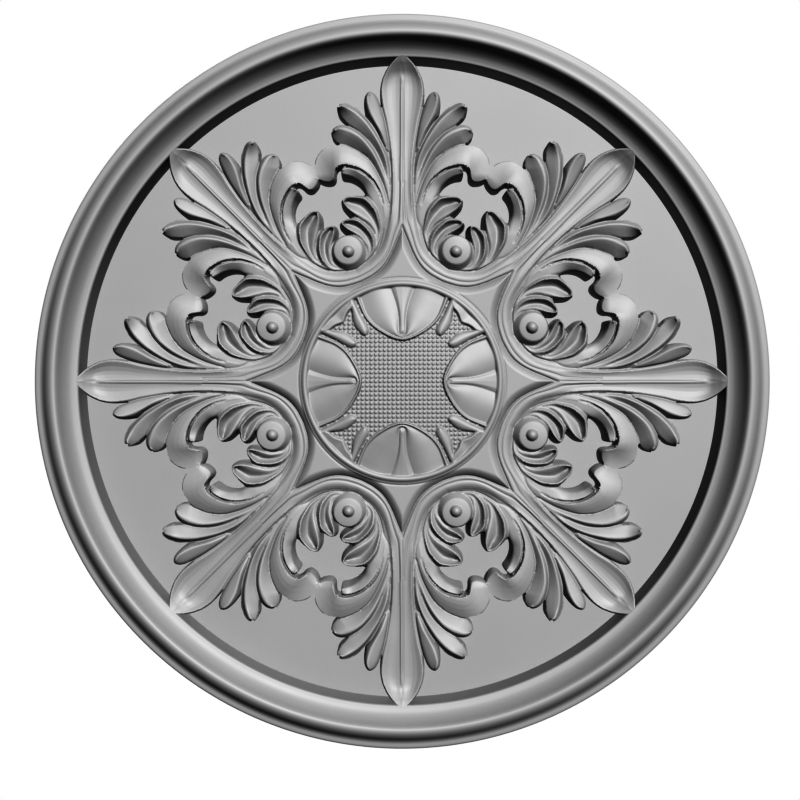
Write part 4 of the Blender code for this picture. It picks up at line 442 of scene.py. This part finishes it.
def finish_grid(laid):
    """Star, ring shoulder, boss with its eye, and the web between the leaf roots."""
    top, carved = laid
    x = (U_LO + np.arange(NU) * STEP)[None, :]
    y = (V_LO + np.arange(NV) * STEP)[:, None]
    r, a = np.hypot(x, y), np.arctan2(np.abs(y), x)
    groove = spline([plan(*row[0])[:2] for row in BANDS[:9]], 90)
    ga, gr = np.arctan2(groove[:, 1], groove[:, 0]), np.hypot(groove[:, 0], groove[:, 1])
    edge = np.interp(a, ga[::-1], gr[::-1])
    inside = (r < edge) & (a < HALF + .004)
    depth = near_line(groove, 8.5)
    star = 8.7 - 7.4 * (1 - np.clip(depth / 8.5, 0, 1)) ** 1.8
    ring = ramp(RING_SECTION, r)
    star = np.where(r < 100.2, ring, np.minimum(star, ring))
    top = np.maximum(top, np.where(inside, star, -30))
    # the boss is a low cone whose top is set a little further out, with a ball in its middle
    ca, sa = math.cos(HALF), math.sin(HALF)
    px, py = x - BOSS["r"] * ca, y - BOSS["r"] * sa
    move, shrink = BOSS["top_r"] - BOSS["r"], BOSS["radius"] - BOSS["top"]
    qa = move ** 2 - shrink ** 2
    qb = -2 * move * (px * ca + py * sa) + 2 * BOSS["radius"] * shrink
    qc = px ** 2 + py ** 2 - BOSS["radius"] ** 2
    rise = 2 * qc / (-qb - np.sqrt(np.maximum(qb ** 2 - 4 * qa * qc, 0)))
    rho = np.hypot(x - BOSS["top_r"] * ca, y - BOSS["top_r"] * sa)
    boss = np.where(rise < 0, -30, -.5 + 7.4 * np.clip(rise, 0, 1))
    boss = boss + 1.2 * np.clip(1 - (rho / BOSS["top"]) ** 2, 0, 1)
    eye = np.hypot(x - BOSS["eye_r"] * ca, y - BOSS["eye_r"] * sa)
    ball = np.where(eye < BOSS["eye"], 6.6 + 6.9 * np.sqrt(np.clip(1 - (eye / BOSS["eye"]) ** 2, 0, 1)), -30)
    grooves = np.zeros_like(top)
    fade = np.interp(x, [136, 150, 192, 205], [1.7, .5, .5, 1.7])
    for key, rows, deep, wide in ((3, 18, fade, .75), (1, 12, .55, .6), (0, 9, 1.3, .75)):
        line = spline([plan(*row[key])[:2] for row in BANDS[:rows]], 12 * rows)
        grooves = np.maximum(grooves, deep * np.exp(-(near_line(line, 3.0) / wide) ** 2))
    for fold, deep, wide in ((VEIN, 1.0, .8), (FOLD, 1.3, .8)):
        line = spline([plan(*p)[:2] for p in fold], 90)
        grooves = np.maximum(grooves, deep * np.exp(-(near_line(line, 3.0) / wide) ** 2))
    # a step down from the curl to the hook's wall
    away = near_line(spline([plan(*p)[:2] for p in SEAM], 120), 3.0, True)
    step = np.where(away >= 0, np.clip(1 - away / 2.0, 0, 1), np.clip(1 + away / .4, 0, 1))
    grooves = np.maximum(grooves, np.interp(x, [172, 182, 192, 200], [.4, 2.4, 4.6, 6.0]) * step)
    rim = np.array([plan(*row[2])[:2] for row in BANDS[8:]])
    petal = (np.abs(y) < np.interp(x, rim[:, 0], rim[:, 1])) & (x > 150)
    # between the leaves the face is level, and it falls away steeply at the free edges
    level = -.5 - 1.3 * np.clip((x - 205) / 15, 0, 1) + 0 * y
    web = level
    for line, wide, deep in ((OUTER_EDGE, 1.6, 22.0), (POCKET_EDGE, 3.2, 22.0)):
        away = near_line(np.array([p for p in line if p is not None]), wide, True)
        web = np.minimum(web, level - deep * np.clip(1 - away / wide, 0, 2))
    away = near_line(np.array([p for p in POCKET_EDGE if p is not None]), 6.0, True)
    web = np.where((x > 186) & (away < 5.0), -26.0, web)
    web = np.minimum(web, level - 16 * np.clip((3.0 - near_line(np.array(SLOT), 3.5)) / 1.4, 0, 1))
    web = np.where(a > HALF + .004, -30.0, web)
    top = np.where(petal | carved, top, np.maximum(top, web)) - grooves
    top = np.maximum(top, np.maximum(boss, ball))
    # the second leaf turns up at its tip
    s, t = (x - 256.8) * .72 + (y - 49.0) * .69, (y - 49.0) * .72 - (x - 256.8) * .69
    lift = 4.6 * np.clip(s / 15.0, 0, 1.15) ** 3 * np.clip(1 - (t / 8.5) ** 2, 0, 1) ** .5
    top = np.where((x > 248) & (top > -3), top + lift, top)
    # the curl's tip rises toward its free edge
    lift = 5.0 * np.clip(((y - 46.0) * .8 + (206.0 - x) * .6) / 11.0, 0, 1.3) ** 2.4
    top = np.where((y < 60) & (y > 44) & (x > 193) & (x < 209) & (top > -2), top + lift, top)
    # the hook's inner edge is rolled over
    dip = 2.6 * np.clip(1 - (x - 194.5) / 9, 0, 1) ** 2 * np.clip((y - 66) / 3, 0, 1) * np.clip((86 - y) / 4, 0, 1)
    top = np.where((x > 190) & (top > -3), top - dip, top)
    # a fine groove runs down the midrib of the petal
    groove = 0.7 * np.exp(-(y / 0.75) ** 2) * np.clip((x - 149) / 12, 0, 1) * np.clip((296 - x) / 12, 0, 1)
    top = np.where(petal, top - groove, top)
    # the other half of the repeat, seen in the petal's axis and in the ray between two petals
    k = int(round(-V_LO / STEP))
    top[:k] = top[2 * k:k:-1]
    c2, s2 = math.cos(2 * HALF), math.sin(2 * HALF)
    beyond = sample(top, x * c2 + y * s2, x * s2 - y * c2, U_LO, V_LO, STEP)
    top = np.where(a > HALF - .12, np.maximum(top, beyond), top)
    return soften(np.maximum(top, -23.0))


def on_ray(r):
    return (r * math.cos(HALF), r * math.sin(HALF))


# ---------------------------------------------------------------- fine surface
SPACING = 0.85
BEAD_SPACING = 0.7
LEAF_TOP = finish_grid(relief_grid(1.4))
CENTRE_TOP = soften(medallion_grid(1.3))
TIP_R = 317.4
BEAD_PITCH, BEAD_R, BEAD_H = 4.30, 1.75, 1.25
JOIN = 95.2
WALL_R = FRAME[0][0]


def bead_relief(x, y):
    """Small round beads on a square diaper, one in the middle."""
    dx = x - BEAD_PITCH * np.rint(x / BEAD_PITCH)
    dy = y - BEAD_PITCH * np.rint(y / BEAD_PITCH)
    q = np.clip(1 - (dx * dx + dy * dy) / BEAD_R ** 2, 0, 1)
    return BEAD_H * np.sqrt(q)


def centre_field():
    """The medallion's height grid with the beads wherever its bare field shows."""
    x = np.arange(MU)[None, :] * MSTEP - 6.0
    y = np.arange(MV)[:, None] * MSTEP - 6.0
    bare = bead_field(x, y)
    over = CENTRE_TOP - bare
    return np.where(over < 0.35, CENTRE_TOP + bead_relief(x, y) * np.clip(1 - over / 0.35, 0, 1), CENTRE_TOP)


CENTRE_TOP = centre_field()


def slopes(grid, step):
    gy, gx = np.gradient(grid, step)
    return gx, gy


LEAF_SLOPE = slopes(LEAF_TOP, STEP)
CENTRE_SLOPE = slopes(CENTRE_TOP, MSTEP)


def leaf_surface(x, y):
    z = FACE + sample(LEAF_TOP, x, y, U_LO, V_LO, STEP)
    gx, gy = (sample(g, x, y, U_LO, V_LO, STEP) for g in LEAF_SLOPE)
    return z, np.stack([-gx, -gy, np.ones_like(gx)], -1)


def centre_surface(x, y):
    z = FACE + sample(CENTRE_TOP, x, y, -6.0, -6.0, MSTEP)
    gx, gy = (sample(g, x, y, -6.0, -6.0, MSTEP) for g in CENTRE_SLOPE)
    return z, np.stack([-gx, -gy, np.ones_like(gx)], -1)


def within(px, py, ring):
    """Points inside a closed ring, all at once."""
    hit = np.zeros(px.shape, bool)
    for (x1, y1), (x2, y2) in zip(ring, ring[1:] + ring[:1]):
        if y1 != y2:
            side = (y1 > py) != (y2 > py)
            hit ^= side & (px < (x2 - x1) * (py - y1) / (y2 - y1) + x1)
    return hit


def arc(r, a0, a1, n):
    return [(r * math.cos(a0 + (a1 - a0) * i / n), r * math.sin(a0 + (a1 - a0) * i / n)) for i in range(n + 1)]


def walk(points, gap):
    """Points spread evenly along a smooth line."""
    p = np.asarray(points, float)
    length = np.linalg.norm(np.diff(spline(p, 200), axis=0), axis=1).sum()
    n = max(int(round(length / gap)), 1) + 1
    return [tuple(q) for q in even(p, n)]


def straight(a, b, gap):
    n = max(int(round(math.dist(a, b) / gap)), 1)
    return [(a[0] + (b[0] - a[0]) * i / n, a[1] + (b[1] - a[1]) * i / n) for i in range(n + 1)]


def walk_corners(line, gap):
    out, run = [], []
    for p in list(line) + [None]:
        if p is None:
            part = walk(run, gap)
            out += part
            run = []
        else:
            run.append(p)
    return out


class Sieve:
    """Keeps points that are not too close to those already kept."""

    def __init__(self, gap):
        self.gap, self.cells = gap, {}

    def add(self, p, gap=None):
        gap = gap or self.gap
        i, j = int(p[0] // self.gap), int(p[1] // self.gap)
        for a in (i - 1, i, i + 1):
            for b in (j - 1, j, j + 1):
                for q in self.cells.get((a, b), ()):
                    if (p[0] - q[0]) ** 2 + (p[1] - q[1]) ** 2 < gap * gap:
                        return False
        self.cells.setdefault((i, j), []).append(p)
        return True

    def force(self, p):
        self.cells.setdefault((int(p[0] // self.gap), int(p[1] // self.gap)), []).append(p)


def mesh_plan(border, chains, rails, region, gap):
    """Triangles over a plan region: fixed chains, points along the rails, then an even fill."""
    sieve = Sieve(gap)
    for chain in [border] + chains:
        for p in chain:
            sieve.force(p)
    free = []
    for line in rails:
        for p in line:
            if sieve.add(p, gap * 0.62):
                free.append(p)
    xs, ys = [p[0] for p in region], [p[1] for p in region]
    fill = []
    row = gap * math.sqrt(0.75)
    for j in range(int((max(ys) - min(ys)) / row) + 1):
        for i in range(int((max(xs) - min(xs)) / gap) + 1):
            fill.append((min(xs) + (i + 0.5 * (j % 2)) * gap, min(ys) + j * row))
    fill = np.array(fill)
    pts = np.array(free + [tuple(p) for p in fill])
    keep = within(pts[:, 0], pts[:, 1], region)
    chosen = [tuple(p) for p in pts[:len(free)][keep[:len(free)]]]
    for p in fill[keep[len(free):]]:
        q = (float(p[0]), float(p[1]))
        if sieve.add(q, gap * 0.78):
            chosen.append(q)
    verts, index, edges = [], {}, []

    def put(p):
        key = (round(p[0], 4), round(p[1], 4))
        if key not in index:
            index[key] = len(verts)
            verts.append(Vector(key))
        return index[key]

    for chain in [border + border[:1]] + chains:
        ids = [put(p) for p in chain]
        edges += [(a, b) for a, b in zip(ids, ids[1:]) if a != b]
    for p in chosen:
        put(p)
    out = delaunay_2d_cdt(verts, edges, [], 0, 1e-5)
    v = np.array([(q.x, q.y) for q in out[0]])
    f = np.array([tuple(t) for t in out[2]])
    c = v[f].mean(1)
    f = f[within(c[:, 0], c[:, 1], border)]
    return v, f


def drop_flat(v, f, angle):
    off = np.abs(v[:, 1] * math.cos(angle) - v[:, 0] * math.sin(angle))
    return f[(off[f].max(1) > 0.02) & (np.abs(v[:, 1])[f].max(1) > 0.02)]


def leaf_half():
    """One half repeat: corner positions (n, 3, 3) and their normals."""
    gap = SPACING
    tip = (math.sqrt(WALL_R ** 2 - 5.6 ** 2), 5.6)
    plain = [p for p in OUTER_EDGE if p is None or math.hypot(*p) < WALL_R - 1.5]
    outer = [tip] + walk_corners(plain[:-1] + [on_ray(220.8)], gap)
    pocket = walk_corners([on_ray(213.0)] + POCKET_EDGE[1:-1] + [on_ray(153.0)], gap)
    t = math.asin(5.6 / WALL_R)
    point = even([(TIP_R, 0.0), (316.8, 1.9), (316.1, 3.8), tip], 7)
    rim = [tuple(p) for p in point[:-1]] + arc(WALL_R, t, HALF, 58)
    axis = straight((JOIN, 0.0), (TIP_R, 0.0), gap)
    edge_in = arc(JOIN, 0, HALF, ARC_STEPS)
    r_marks = [WALL_R, 220.8, 213.0, 153.0, JOIN]
    ray = []
    for a, b, g in zip(r_marks, r_marks[1:], (5.0, gap, 5.0, gap)):
        ray += straight(on_ray(a), on_ray(b), g)[1:]
    border = axis[:-1] + rim + ray[:-1] + edge_in[::-1][:-1]
    n1 = len(axis) - 1
    lower_ray = straight(on_ray(153.0), on_ray(JOIN), gap)
    mid_ray = straight(on_ray(220.8), on_ray(213.0), gap)
    ornament = axis[:-1] + rim[:6] + outer + mid_ray[1:-1] + pocket + lower_ray[1:-1] + edge_in[::-1][:-1]
    rails = []
    for leaf in LEAVES.values():
        rails += [[q[:2] for q in walk([plan(*p) for p in leaf[k]], gap * .9)] for k in ("crest", "foot", "edge")]
    for cup in CUPS.values():
        rails += [[q[:2] for q in walk([plan(*p) for p in cup[k]], gap * .9)]
                  for k in ("crest", "rim", "foot", "edge", "hollow")]
    rails += [[q[:2] for q in walk([plan(*row[k]) for row in BANDS], gap * .9)] for k in (1, 2, 3)]
    rails.append([q[:2] for q in walk([plan(*row[0]) for row in BANDS[:9]], gap * .9)])
    for key, rows in ((3, 18), (1, 12), (0, 9)):       # both shoulders of the fine grooves
        line = np.array([q[:2] for q in walk([plan(*row[key]) for row in BANDS[:rows]], gap * .9)])
        d = np.gradient(line, axis=0)
        d /= np.linalg.norm(d, axis=1)[:, None]
        for s in (0.7, -0.7, 1.4, -1.4):
            rails.append([tuple(q) for q in line + s * np.stack([-d[:, 1], d[:, 0]], 1)])
    for fold in (VEIN, FOLD, SEAM):
        line = np.array([q[:2] for q in walk([plan(*p) for p in fold], gap * .9)])
        d = np.gradient(line, axis=0)
        d /= np.linalg.norm(d, axis=1)[:, None]
        rails += [[tuple(q) for q in line + s * np.stack([-d[:, 1], d[:, 0]], 1)] for s in (0, .75, -.75)]
    rails += [arc(r, 0, HALF, int(r * HALF / (gap * .9))) for r in (96.0, 97.2, 98.2, 99.0, 100.2, 100.9, 101.6, 102.4)]
    rails += [straight((152.0, s), (300.0, s), gap) for s in (0.7, 1.4, 2.2)]
    for centre, rho in (("r", 17.6), ("top_r", 14.0), ("top_r", 12.8), ("eye_r", 5.6), ("eye_r", 5.0), ("eye_r", 3.8)):
        x0, y0 = BOSS[centre] * math.cos(HALF), BOSS[centre] * math.sin(HALF)
        n = max(int(math.pi * rho / (gap * .9)), 6)
        rails.append([(x0 + rho * math.cos(HALF - math.pi * i / n), y0 + rho * math.sin(HALF - math.pi * i / n))
                      for i in range(1, n)])
    v, f = mesh_plan(border, [outer, pocket], rails, ornament, gap)
    f = drop_flat(v, f, HALF)
    c = v[f].mean(1)
    on_top = within(c[:, 0], c[:, 1], ornament)
    top, low = f[on_top], f[~on_top]
    z, nrm = leaf_surface(v[:, 0], v[:, 1])
    nrm /= np.linalg.norm(nrm, axis=1)[:, None]
    p_top = np.column_stack([v, z])
    p_low = np.column_stack([v, 0 * z])
    up = np.zeros((len(v), 3))
    up[:, 2] = 1
    tris, norms = [p_top[top], p_low[low]], [nrm[top], up[low]]
    low_edges = {(int(t[k]), int(t[(k + 1) % 3])) for t in low for k in range(3)}
    walls = [(int(t[k]), int(t[(k + 1) % 3])) for t in top for k in range(3)
             if (int(t[(k + 1) % 3]), int(t[k])) in low_edges]
    side = {}
    for a, b in walls:
        d = v[b] - v[a]
        out = np.array([d[1], -d[0], 0.0]) / max(np.hypot(*d), 1e-9)
        side.setdefault(a, []).append(out)
        side.setdefault(b, []).append(out)
    for a, b in walls:
        d = v[b] - v[a]
        out = np.array([d[1], -d[0], 0.0]) / max(np.hypot(*d), 1e-9)
        na, nb = (sum(side[i]) for i in (a, b))
        na, nb = (q / np.linalg.norm(q) if np.linalg.norm(q) > 1e-6 else out for q in (na, nb))
        na, nb = (q if q @ out > 0.75 else out for q in (na, nb))
        pa, pb, qa, qb = p_top[a], p_top[b], p_low[a], p_low[b]
        tris.append(np.array([[pb, pa, qa], [pb, qa, qb]]))
        norms.append(np.array([[nb, na, na], [nb, na, nb]]))
    for a, b in zip(rim[:6], rim[1:7]):             # the tip's free edge over the frame's lip
        a, b = (np.array(q, float) for q in (a, b))
        za, zb = leaf_surface(np.array([a[0], b[0]]), np.array([a[1], b[1]]))[0]
        d = b - a
        out = np.array([d[1], -d[0], 0.0]) / np.hypot(*d)
        pa, pb, qa, qb = (np.array([*q, h]) for q, h in ((a, za), (b, zb), (a, 28.0), (b, 28.0)))
        tris.append(np.array([[pb, pa, qa], [pb, qa, qb]]))
        norms.append(np.tile(out, (2, 3, 1)))
    return np.concatenate(tris), np.concatenate(norms)


def centre_eighth():
    gap = BEAD_SPACING
    a1 = 2 * HALF
    rim = arc(JOIN, 0, a1, 2 * ARC_STEPS)
    end = rim[-1]
    border = straight((0.0, 0.0), (JOIN, 0.0), gap)[:-1] + rim + straight(end, (0.0, 0.0), gap)[1:-1]
    rails = [arc(r, 0, a1, int(r * a1 / (gap * .9))) for r in (91.2, 92.1, 93.1, 94.4)]
    lift = lambda p: plan(p[0], p[1], p[2] + CENTRE)
    for part in (SHELL, FINGER, WEB):
        for key in part:
            rails.append([q[:2] for q in walk([lift(p) for p in part[key]], gap * .9)])
    v, f = mesh_plan(border, [], rails, border, gap)
    f = drop_flat(v, f, a1)
    z, nrm = centre_surface(v[:, 0], v[:, 1])
    nrm /= np.linalg.norm(nrm, axis=1)[:, None]
    return np.column_stack([v, z])[f], nrm[f]


ARC_STEPS = int(round(JOIN * HALF / 0.9))


def turned(tris, norms, angles):
    """Mirror the piece over its axis and turn both halves to each angle."""
    out_t, out_n = [], []
    for a in angles:
        for side in (1, -1):
            m = np.array([[math.cos(a), -side * math.sin(a), 0], [math.sin(a), side * math.cos(a), 0], [0, 0, 1]])
            t, n = tris @ m.T, norms @ m.T
            out_t.append(t if side == 1 else t[:, ::-1])
            out_n.append(n if side == 1 else n[:, ::-1])
    return np.concatenate(out_t), np.concatenate(out_n)


def make_object(name, tris, norms, material):
    """A mesh object from corner positions and corner normals, in the hanging position."""
    flip = np.array([1.0, -1.0, -1.0])
    pos = (tris + np.array([0, 0, BACKING])) * flip * UNIT
    nrm = norms * flip
    keys = np.round(pos.reshape(-1, 3) / 2e-6).astype(np.int64)
    _, first, inverse = np.unique(keys, axis=0, return_index=True, return_inverse=True)
    inverse = inverse.reshape(-1, 3)
    good = (inverse[:, 0] != inverse[:, 1]) & (inverse[:, 1] != inverse[:, 2]) & (inverse[:, 0] != inverse[:, 2])
    inverse, nrm = inverse[good], nrm[good]
    verts = pos.reshape(-1, 3)[first]
    mesh = bpy.data.meshes.new(name)
    mesh.from_pydata(verts.tolist(), [], inverse.tolist())
    mesh.update()
    mesh.polygons.foreach_set("use_smooth", [True] * len(mesh.polygons))
    mesh.normals_split_custom_set(nrm.reshape(-1, 3).tolist())
    mesh.materials.append(material)
    obj = bpy.data.objects.new(name, mesh)
    bpy.context.scene.collection.objects.link(obj)
    return obj


def revolve(profile, normals, steps):
    """Turn a profile of (radius, height) with its (radial, up) normals round the centre."""
    p, n = np.array(profile), np.array(normals)
    a = np.linspace(0, 2 * math.pi, steps + 1)
    ca, sa = np.cos(a), np.sin(a)
    pos = np.stack([p[:, None, 0] * ca, p[:, None, 0] * sa, p[:, None, 1] + 0 * ca], -1)
    nrm = np.stack([n[:, :, None, 0] * ca, n[:, :, None, 0] * sa, n[:, :, None, 1] + 0 * ca], -1)
    tris, norms = [], []
    for j in range(len(p) - 1):
        p0, p1, q0, q1 = pos[j, :-1], pos[j, 1:], pos[j + 1, :-1], pos[j + 1, 1:]
        m0, m1, k0, k1 = nrm[j, 0, :-1], nrm[j, 0, 1:], nrm[j, 1, :-1], nrm[j, 1, 1:]
        tris += [np.stack([p0, q0, q1], 1), np.stack([p0, q1, p1], 1)]
        norms += [np.stack([m0, k0, k1], 1), np.stack([m0, k1, m1], 1)]
    return np.concatenate(tris), np.concatenate(norms)


def frame_profile():
    """Smooth points along the moulding with a normal at each end of every span."""
    wall = [(315.4, 0.0), (315.4, 10.0), (315.4, 20.0), (315.4, 31.0)]
    mould = [tuple(q) for q in even(FRAME[1:], 70)]
    side = [(356.1, 38.4), (356.1, 26.0), (356.1, 8.0), (356.1, -8.8), (355.7, -9.7), (354.8, -10.0)]
    back = [(354.8, -10.0), (240.0, -10.0), (120.0, -10.0), (0.02, -10.0)]
    points, spans = [], []
    for k, line in enumerate((wall, mould, side, back)):
        q = np.array(line)
        d = np.gradient(q, axis=0)
        n = np.stack([-d[:, 1], d[:, 0]], 1)
        n /= np.linalg.norm(n, axis=1)[:, None]
        for i in range(len(q) - 1):
            spans.append((q[i], q[i + 1], n[i], n[i + 1]))
    return spans


def frame_object(material):
    steps = 480
    tris, norms = [], []
    for a, b, na, nb in frame_profile():
        t, n = revolve([a, b], [[na, nb]], steps)
        tris.append(t)
        norms.append(n)
    return make_object("frame_moulding", np.concatenate(tris), np.concatenate(norms), material)


# ---------------------------------------------------------------- materials
def plaster_material(name, grain=1.0, base=0.62):
    mat = bpy.data.materials.new(name)
    mat.use_nodes = True
    nodes, links = mat.node_tree.nodes, mat.node_tree.links
    shader = nodes["Principled BSDF"]
    shader.inputs["Metallic"].default_value = 0.0
    shader.inputs["Specular IOR Level"].default_value = SPECULAR
    shader.inputs["IOR"].default_value = 1.8
    where = nodes.new("ShaderNodeTexCoord")
    cloud = nodes.new("ShaderNodeTexNoise")
    cloud.inputs["Scale"].default_value = 9.0
    cloud.inputs["Detail"].default_value = 5.0
    cloud.inputs["Roughness"].default_value = 0.55
    links.new(where.outputs["Object"], cloud.inputs["Vector"])
    speck = nodes.new("ShaderNodeTexNoise")
    speck.inputs["Scale"].default_value = 520.0
    speck.inputs["Detail"].default_value = 3.0
    links.new(where.outputs["Object"], speck.inputs["Vector"])
    tone = nodes.new("ShaderNodeMapRange")
    tone.inputs["From Min"].default_value = 0.3
    tone.inputs["From Max"].default_value = 0.7
    tone.inputs["To Min"].default_value = base * (1 - 0.012 * grain)
    tone.inputs["To Max"].default_value = base * (1 + 0.012 * grain)
    links.new(cloud.outputs["Fac"], tone.inputs["Value"])
    tone2 = nodes.new("ShaderNodeMapRange")
    tone2.inputs["From Min"].default_value = 0.25
    tone2.inputs["From Max"].default_value = 0.75
    tone2.inputs["To Min"].default_value = 1 - 0.012 * grain
    tone2.inputs["To Max"].default_value = 1 + 0.012 * grain
    links.new(speck.outputs["Fac"], tone2.inputs["Value"])
    mult = nodes.new("ShaderNodeMath")
    mult.operation = "MULTIPLY"
    links.new(tone.outputs["Result"], mult.inputs[0])
    links.new(tone2.outputs["Result"], mult.inputs[1])
    grey = nodes.new("ShaderNodeCombineColor")
    for k in range(3):
        links.new(mult.outputs["Value"], grey.inputs[k])
    links.new(grey.outputs["Color"], shader.inputs["Base Color"])
    gloss = nodes.new("ShaderNodeMapRange")
    gloss.inputs["From Min"].default_value = 0.3
    gloss.inputs["From Max"].default_value = 0.7
    gloss.inputs["To Min"].default_value = ROUGHNESS - 0.02 * grain
    gloss.inputs["To Max"].default_value = ROUGHNESS + 0.02 * grain
    links.new(cloud.outputs["Fac"], gloss.inputs["Value"])
    links.new(gloss.outputs["Result"], shader.inputs["Roughness"])
    bump = nodes.new("ShaderNodeBump")
    bump.inputs["Strength"].default_value = 0.10 * grain
    bump.inputs["Distance"].default_value = 0.0002
    links.new(speck.outputs["Fac"], bump.inputs["Height"])
    links.new(bump.outputs["Normal"], shader.inputs["Normal"])
    return mat


SPECULAR, ROUGHNESS = 0.90, 0.64


def stage_and_light():
    scene = bpy.context.scene
    scene.view_settings.view_transform = "Raw"
    scene.view_settings.look = "None"
    scene.view_settings.exposure = 0.0
    scene.view_settings.gamma = 1.0
    world = bpy.data.worlds.new("studio")
    scene.world = world
    world.use_nodes = True
    nodes, links = world.node_tree.nodes, world.node_tree.links
    nodes.clear()
    out = nodes.new("ShaderNodeOutputWorld")
    mix = nodes.new("ShaderNodeMixShader")
    seen = nodes.new("ShaderNodeBackground")
    lit = nodes.new("ShaderNodeBackground")
    path = nodes.new("ShaderNodeLightPath")
    seen.inputs["Color"].default_value = (1, 1, 1, 1)
    seen.inputs["Strength"].default_value = 1.0
    lit.inputs["Color"].default_value = (1, 1, 1, 1)
    lit.inputs["Strength"].default_value = AMBIENT
    links.new(path.outputs["Is Camera Ray"], mix.inputs["Fac"])
    links.new(lit.outputs["Background"], mix.inputs[1])
    links.new(seen.outputs["Background"], mix.inputs[2])
    links.new(mix.outputs["Shader"], out.inputs["Surface"])

    def sun(name, direction, strength, angle, shadow):
        data = bpy.data.lights.new(name, "SUN")
        data.energy = strength
        data.angle = math.radians(angle)
        data.use_shadow = shadow
        if hasattr(data, "cycles") and hasattr(data.cycles, "cast_shadow"):
            data.cycles.cast_shadow = shadow
        obj = bpy.data.objects.new(name, data)
        scene.collection.objects.link(obj)
        obj.rotation_euler = Vector(direction).to_track_quat("Z", "Y").to_euler()
        return obj

    el, az = math.radians(58.7), math.radians(60.3)
    key = (math.cos(el) * math.cos(az), -math.cos(el) * math.sin(az), -math.sin(el))
    sun("key", key, KEY, 3.0, False)
    sun("upper", (-0.35, -0.45, 0.82), UPPER, 25.0, True)

    floor_mesh = bpy.data.meshes.new("floor")
    s = 14.0
    z = -2.4
    floor_mesh.from_pydata([(-s, -s, z), (s, -s, z), (s, s, z), (-s, s, z)], [], [(0, 1, 2, 3)])
    pale = bpy.data.materials.new("pale_floor")
    pale.use_nodes = True
    shader = pale.node_tree.nodes["Principled BSDF"]
    shader.inputs["Base Color"].default_value = (0.86, 0.86, 0.85, 1)
    shader.inputs["Roughness"].default_value = 0.9
    floor_mesh.materials.append(pale)
    floor = bpy.data.objects.new("floor", floor_mesh)
    scene.collection.objects.link(floor)
    floor.visible_diffuse = False
    floor.visible_glossy = False


KEY, UPPER, AMBIENT = 3.49, 2.0, 0.008


def camera():
    data = bpy.data.cameras.new("camera")
    data.type = "PERSP"
    data.sensor_fit = "HORIZONTAL"
    data.sensor_width = 36.0
    data.lens = 36.0 * 1255.0 / 800.0
    data.shift_x = -2.25 / 800.0
    data.shift_y = -18.75 / 800.0
    data.clip_start = 0.01
    obj = bpy.data.objects.new("camera", data)
    bpy.context.scene.collection.objects.link(obj)
    obj.location = (0, 0, -(BACKING + SIGHT) * UNIT)
    obj.rotation_euler = (math.pi, 0, 0)
    bpy.context.scene.camera = obj


def main():
    camera()
    stage_and_light()
    face = plaster_material("plaster")
    pieces = [frame_object(face)]
    tris, norms = leaf_half()
    for k in range(PETALS):
        t, n = turned(tris, norms, [2 * math.pi * k / PETALS])
        pieces.append(make_object("leafwork_%d" % (k + 1), t, n, face))
    t, n = turned(*centre_eighth(), [math.pi / 2 * k for k in range(4)])
    pieces.append(make_object("medallion", t, n, face))
    for piece in pieces:
        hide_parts("ceiling_rose")
        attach(piece, "root")
        piece.visible_diffuse = False     # the photograph has no light bounced between the carvings
    total = sum(len(p.data.polygons) for p in pieces)
    print("triangles", total, max(len(p.data.polygons) for p in pieces))


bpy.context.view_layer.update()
main()
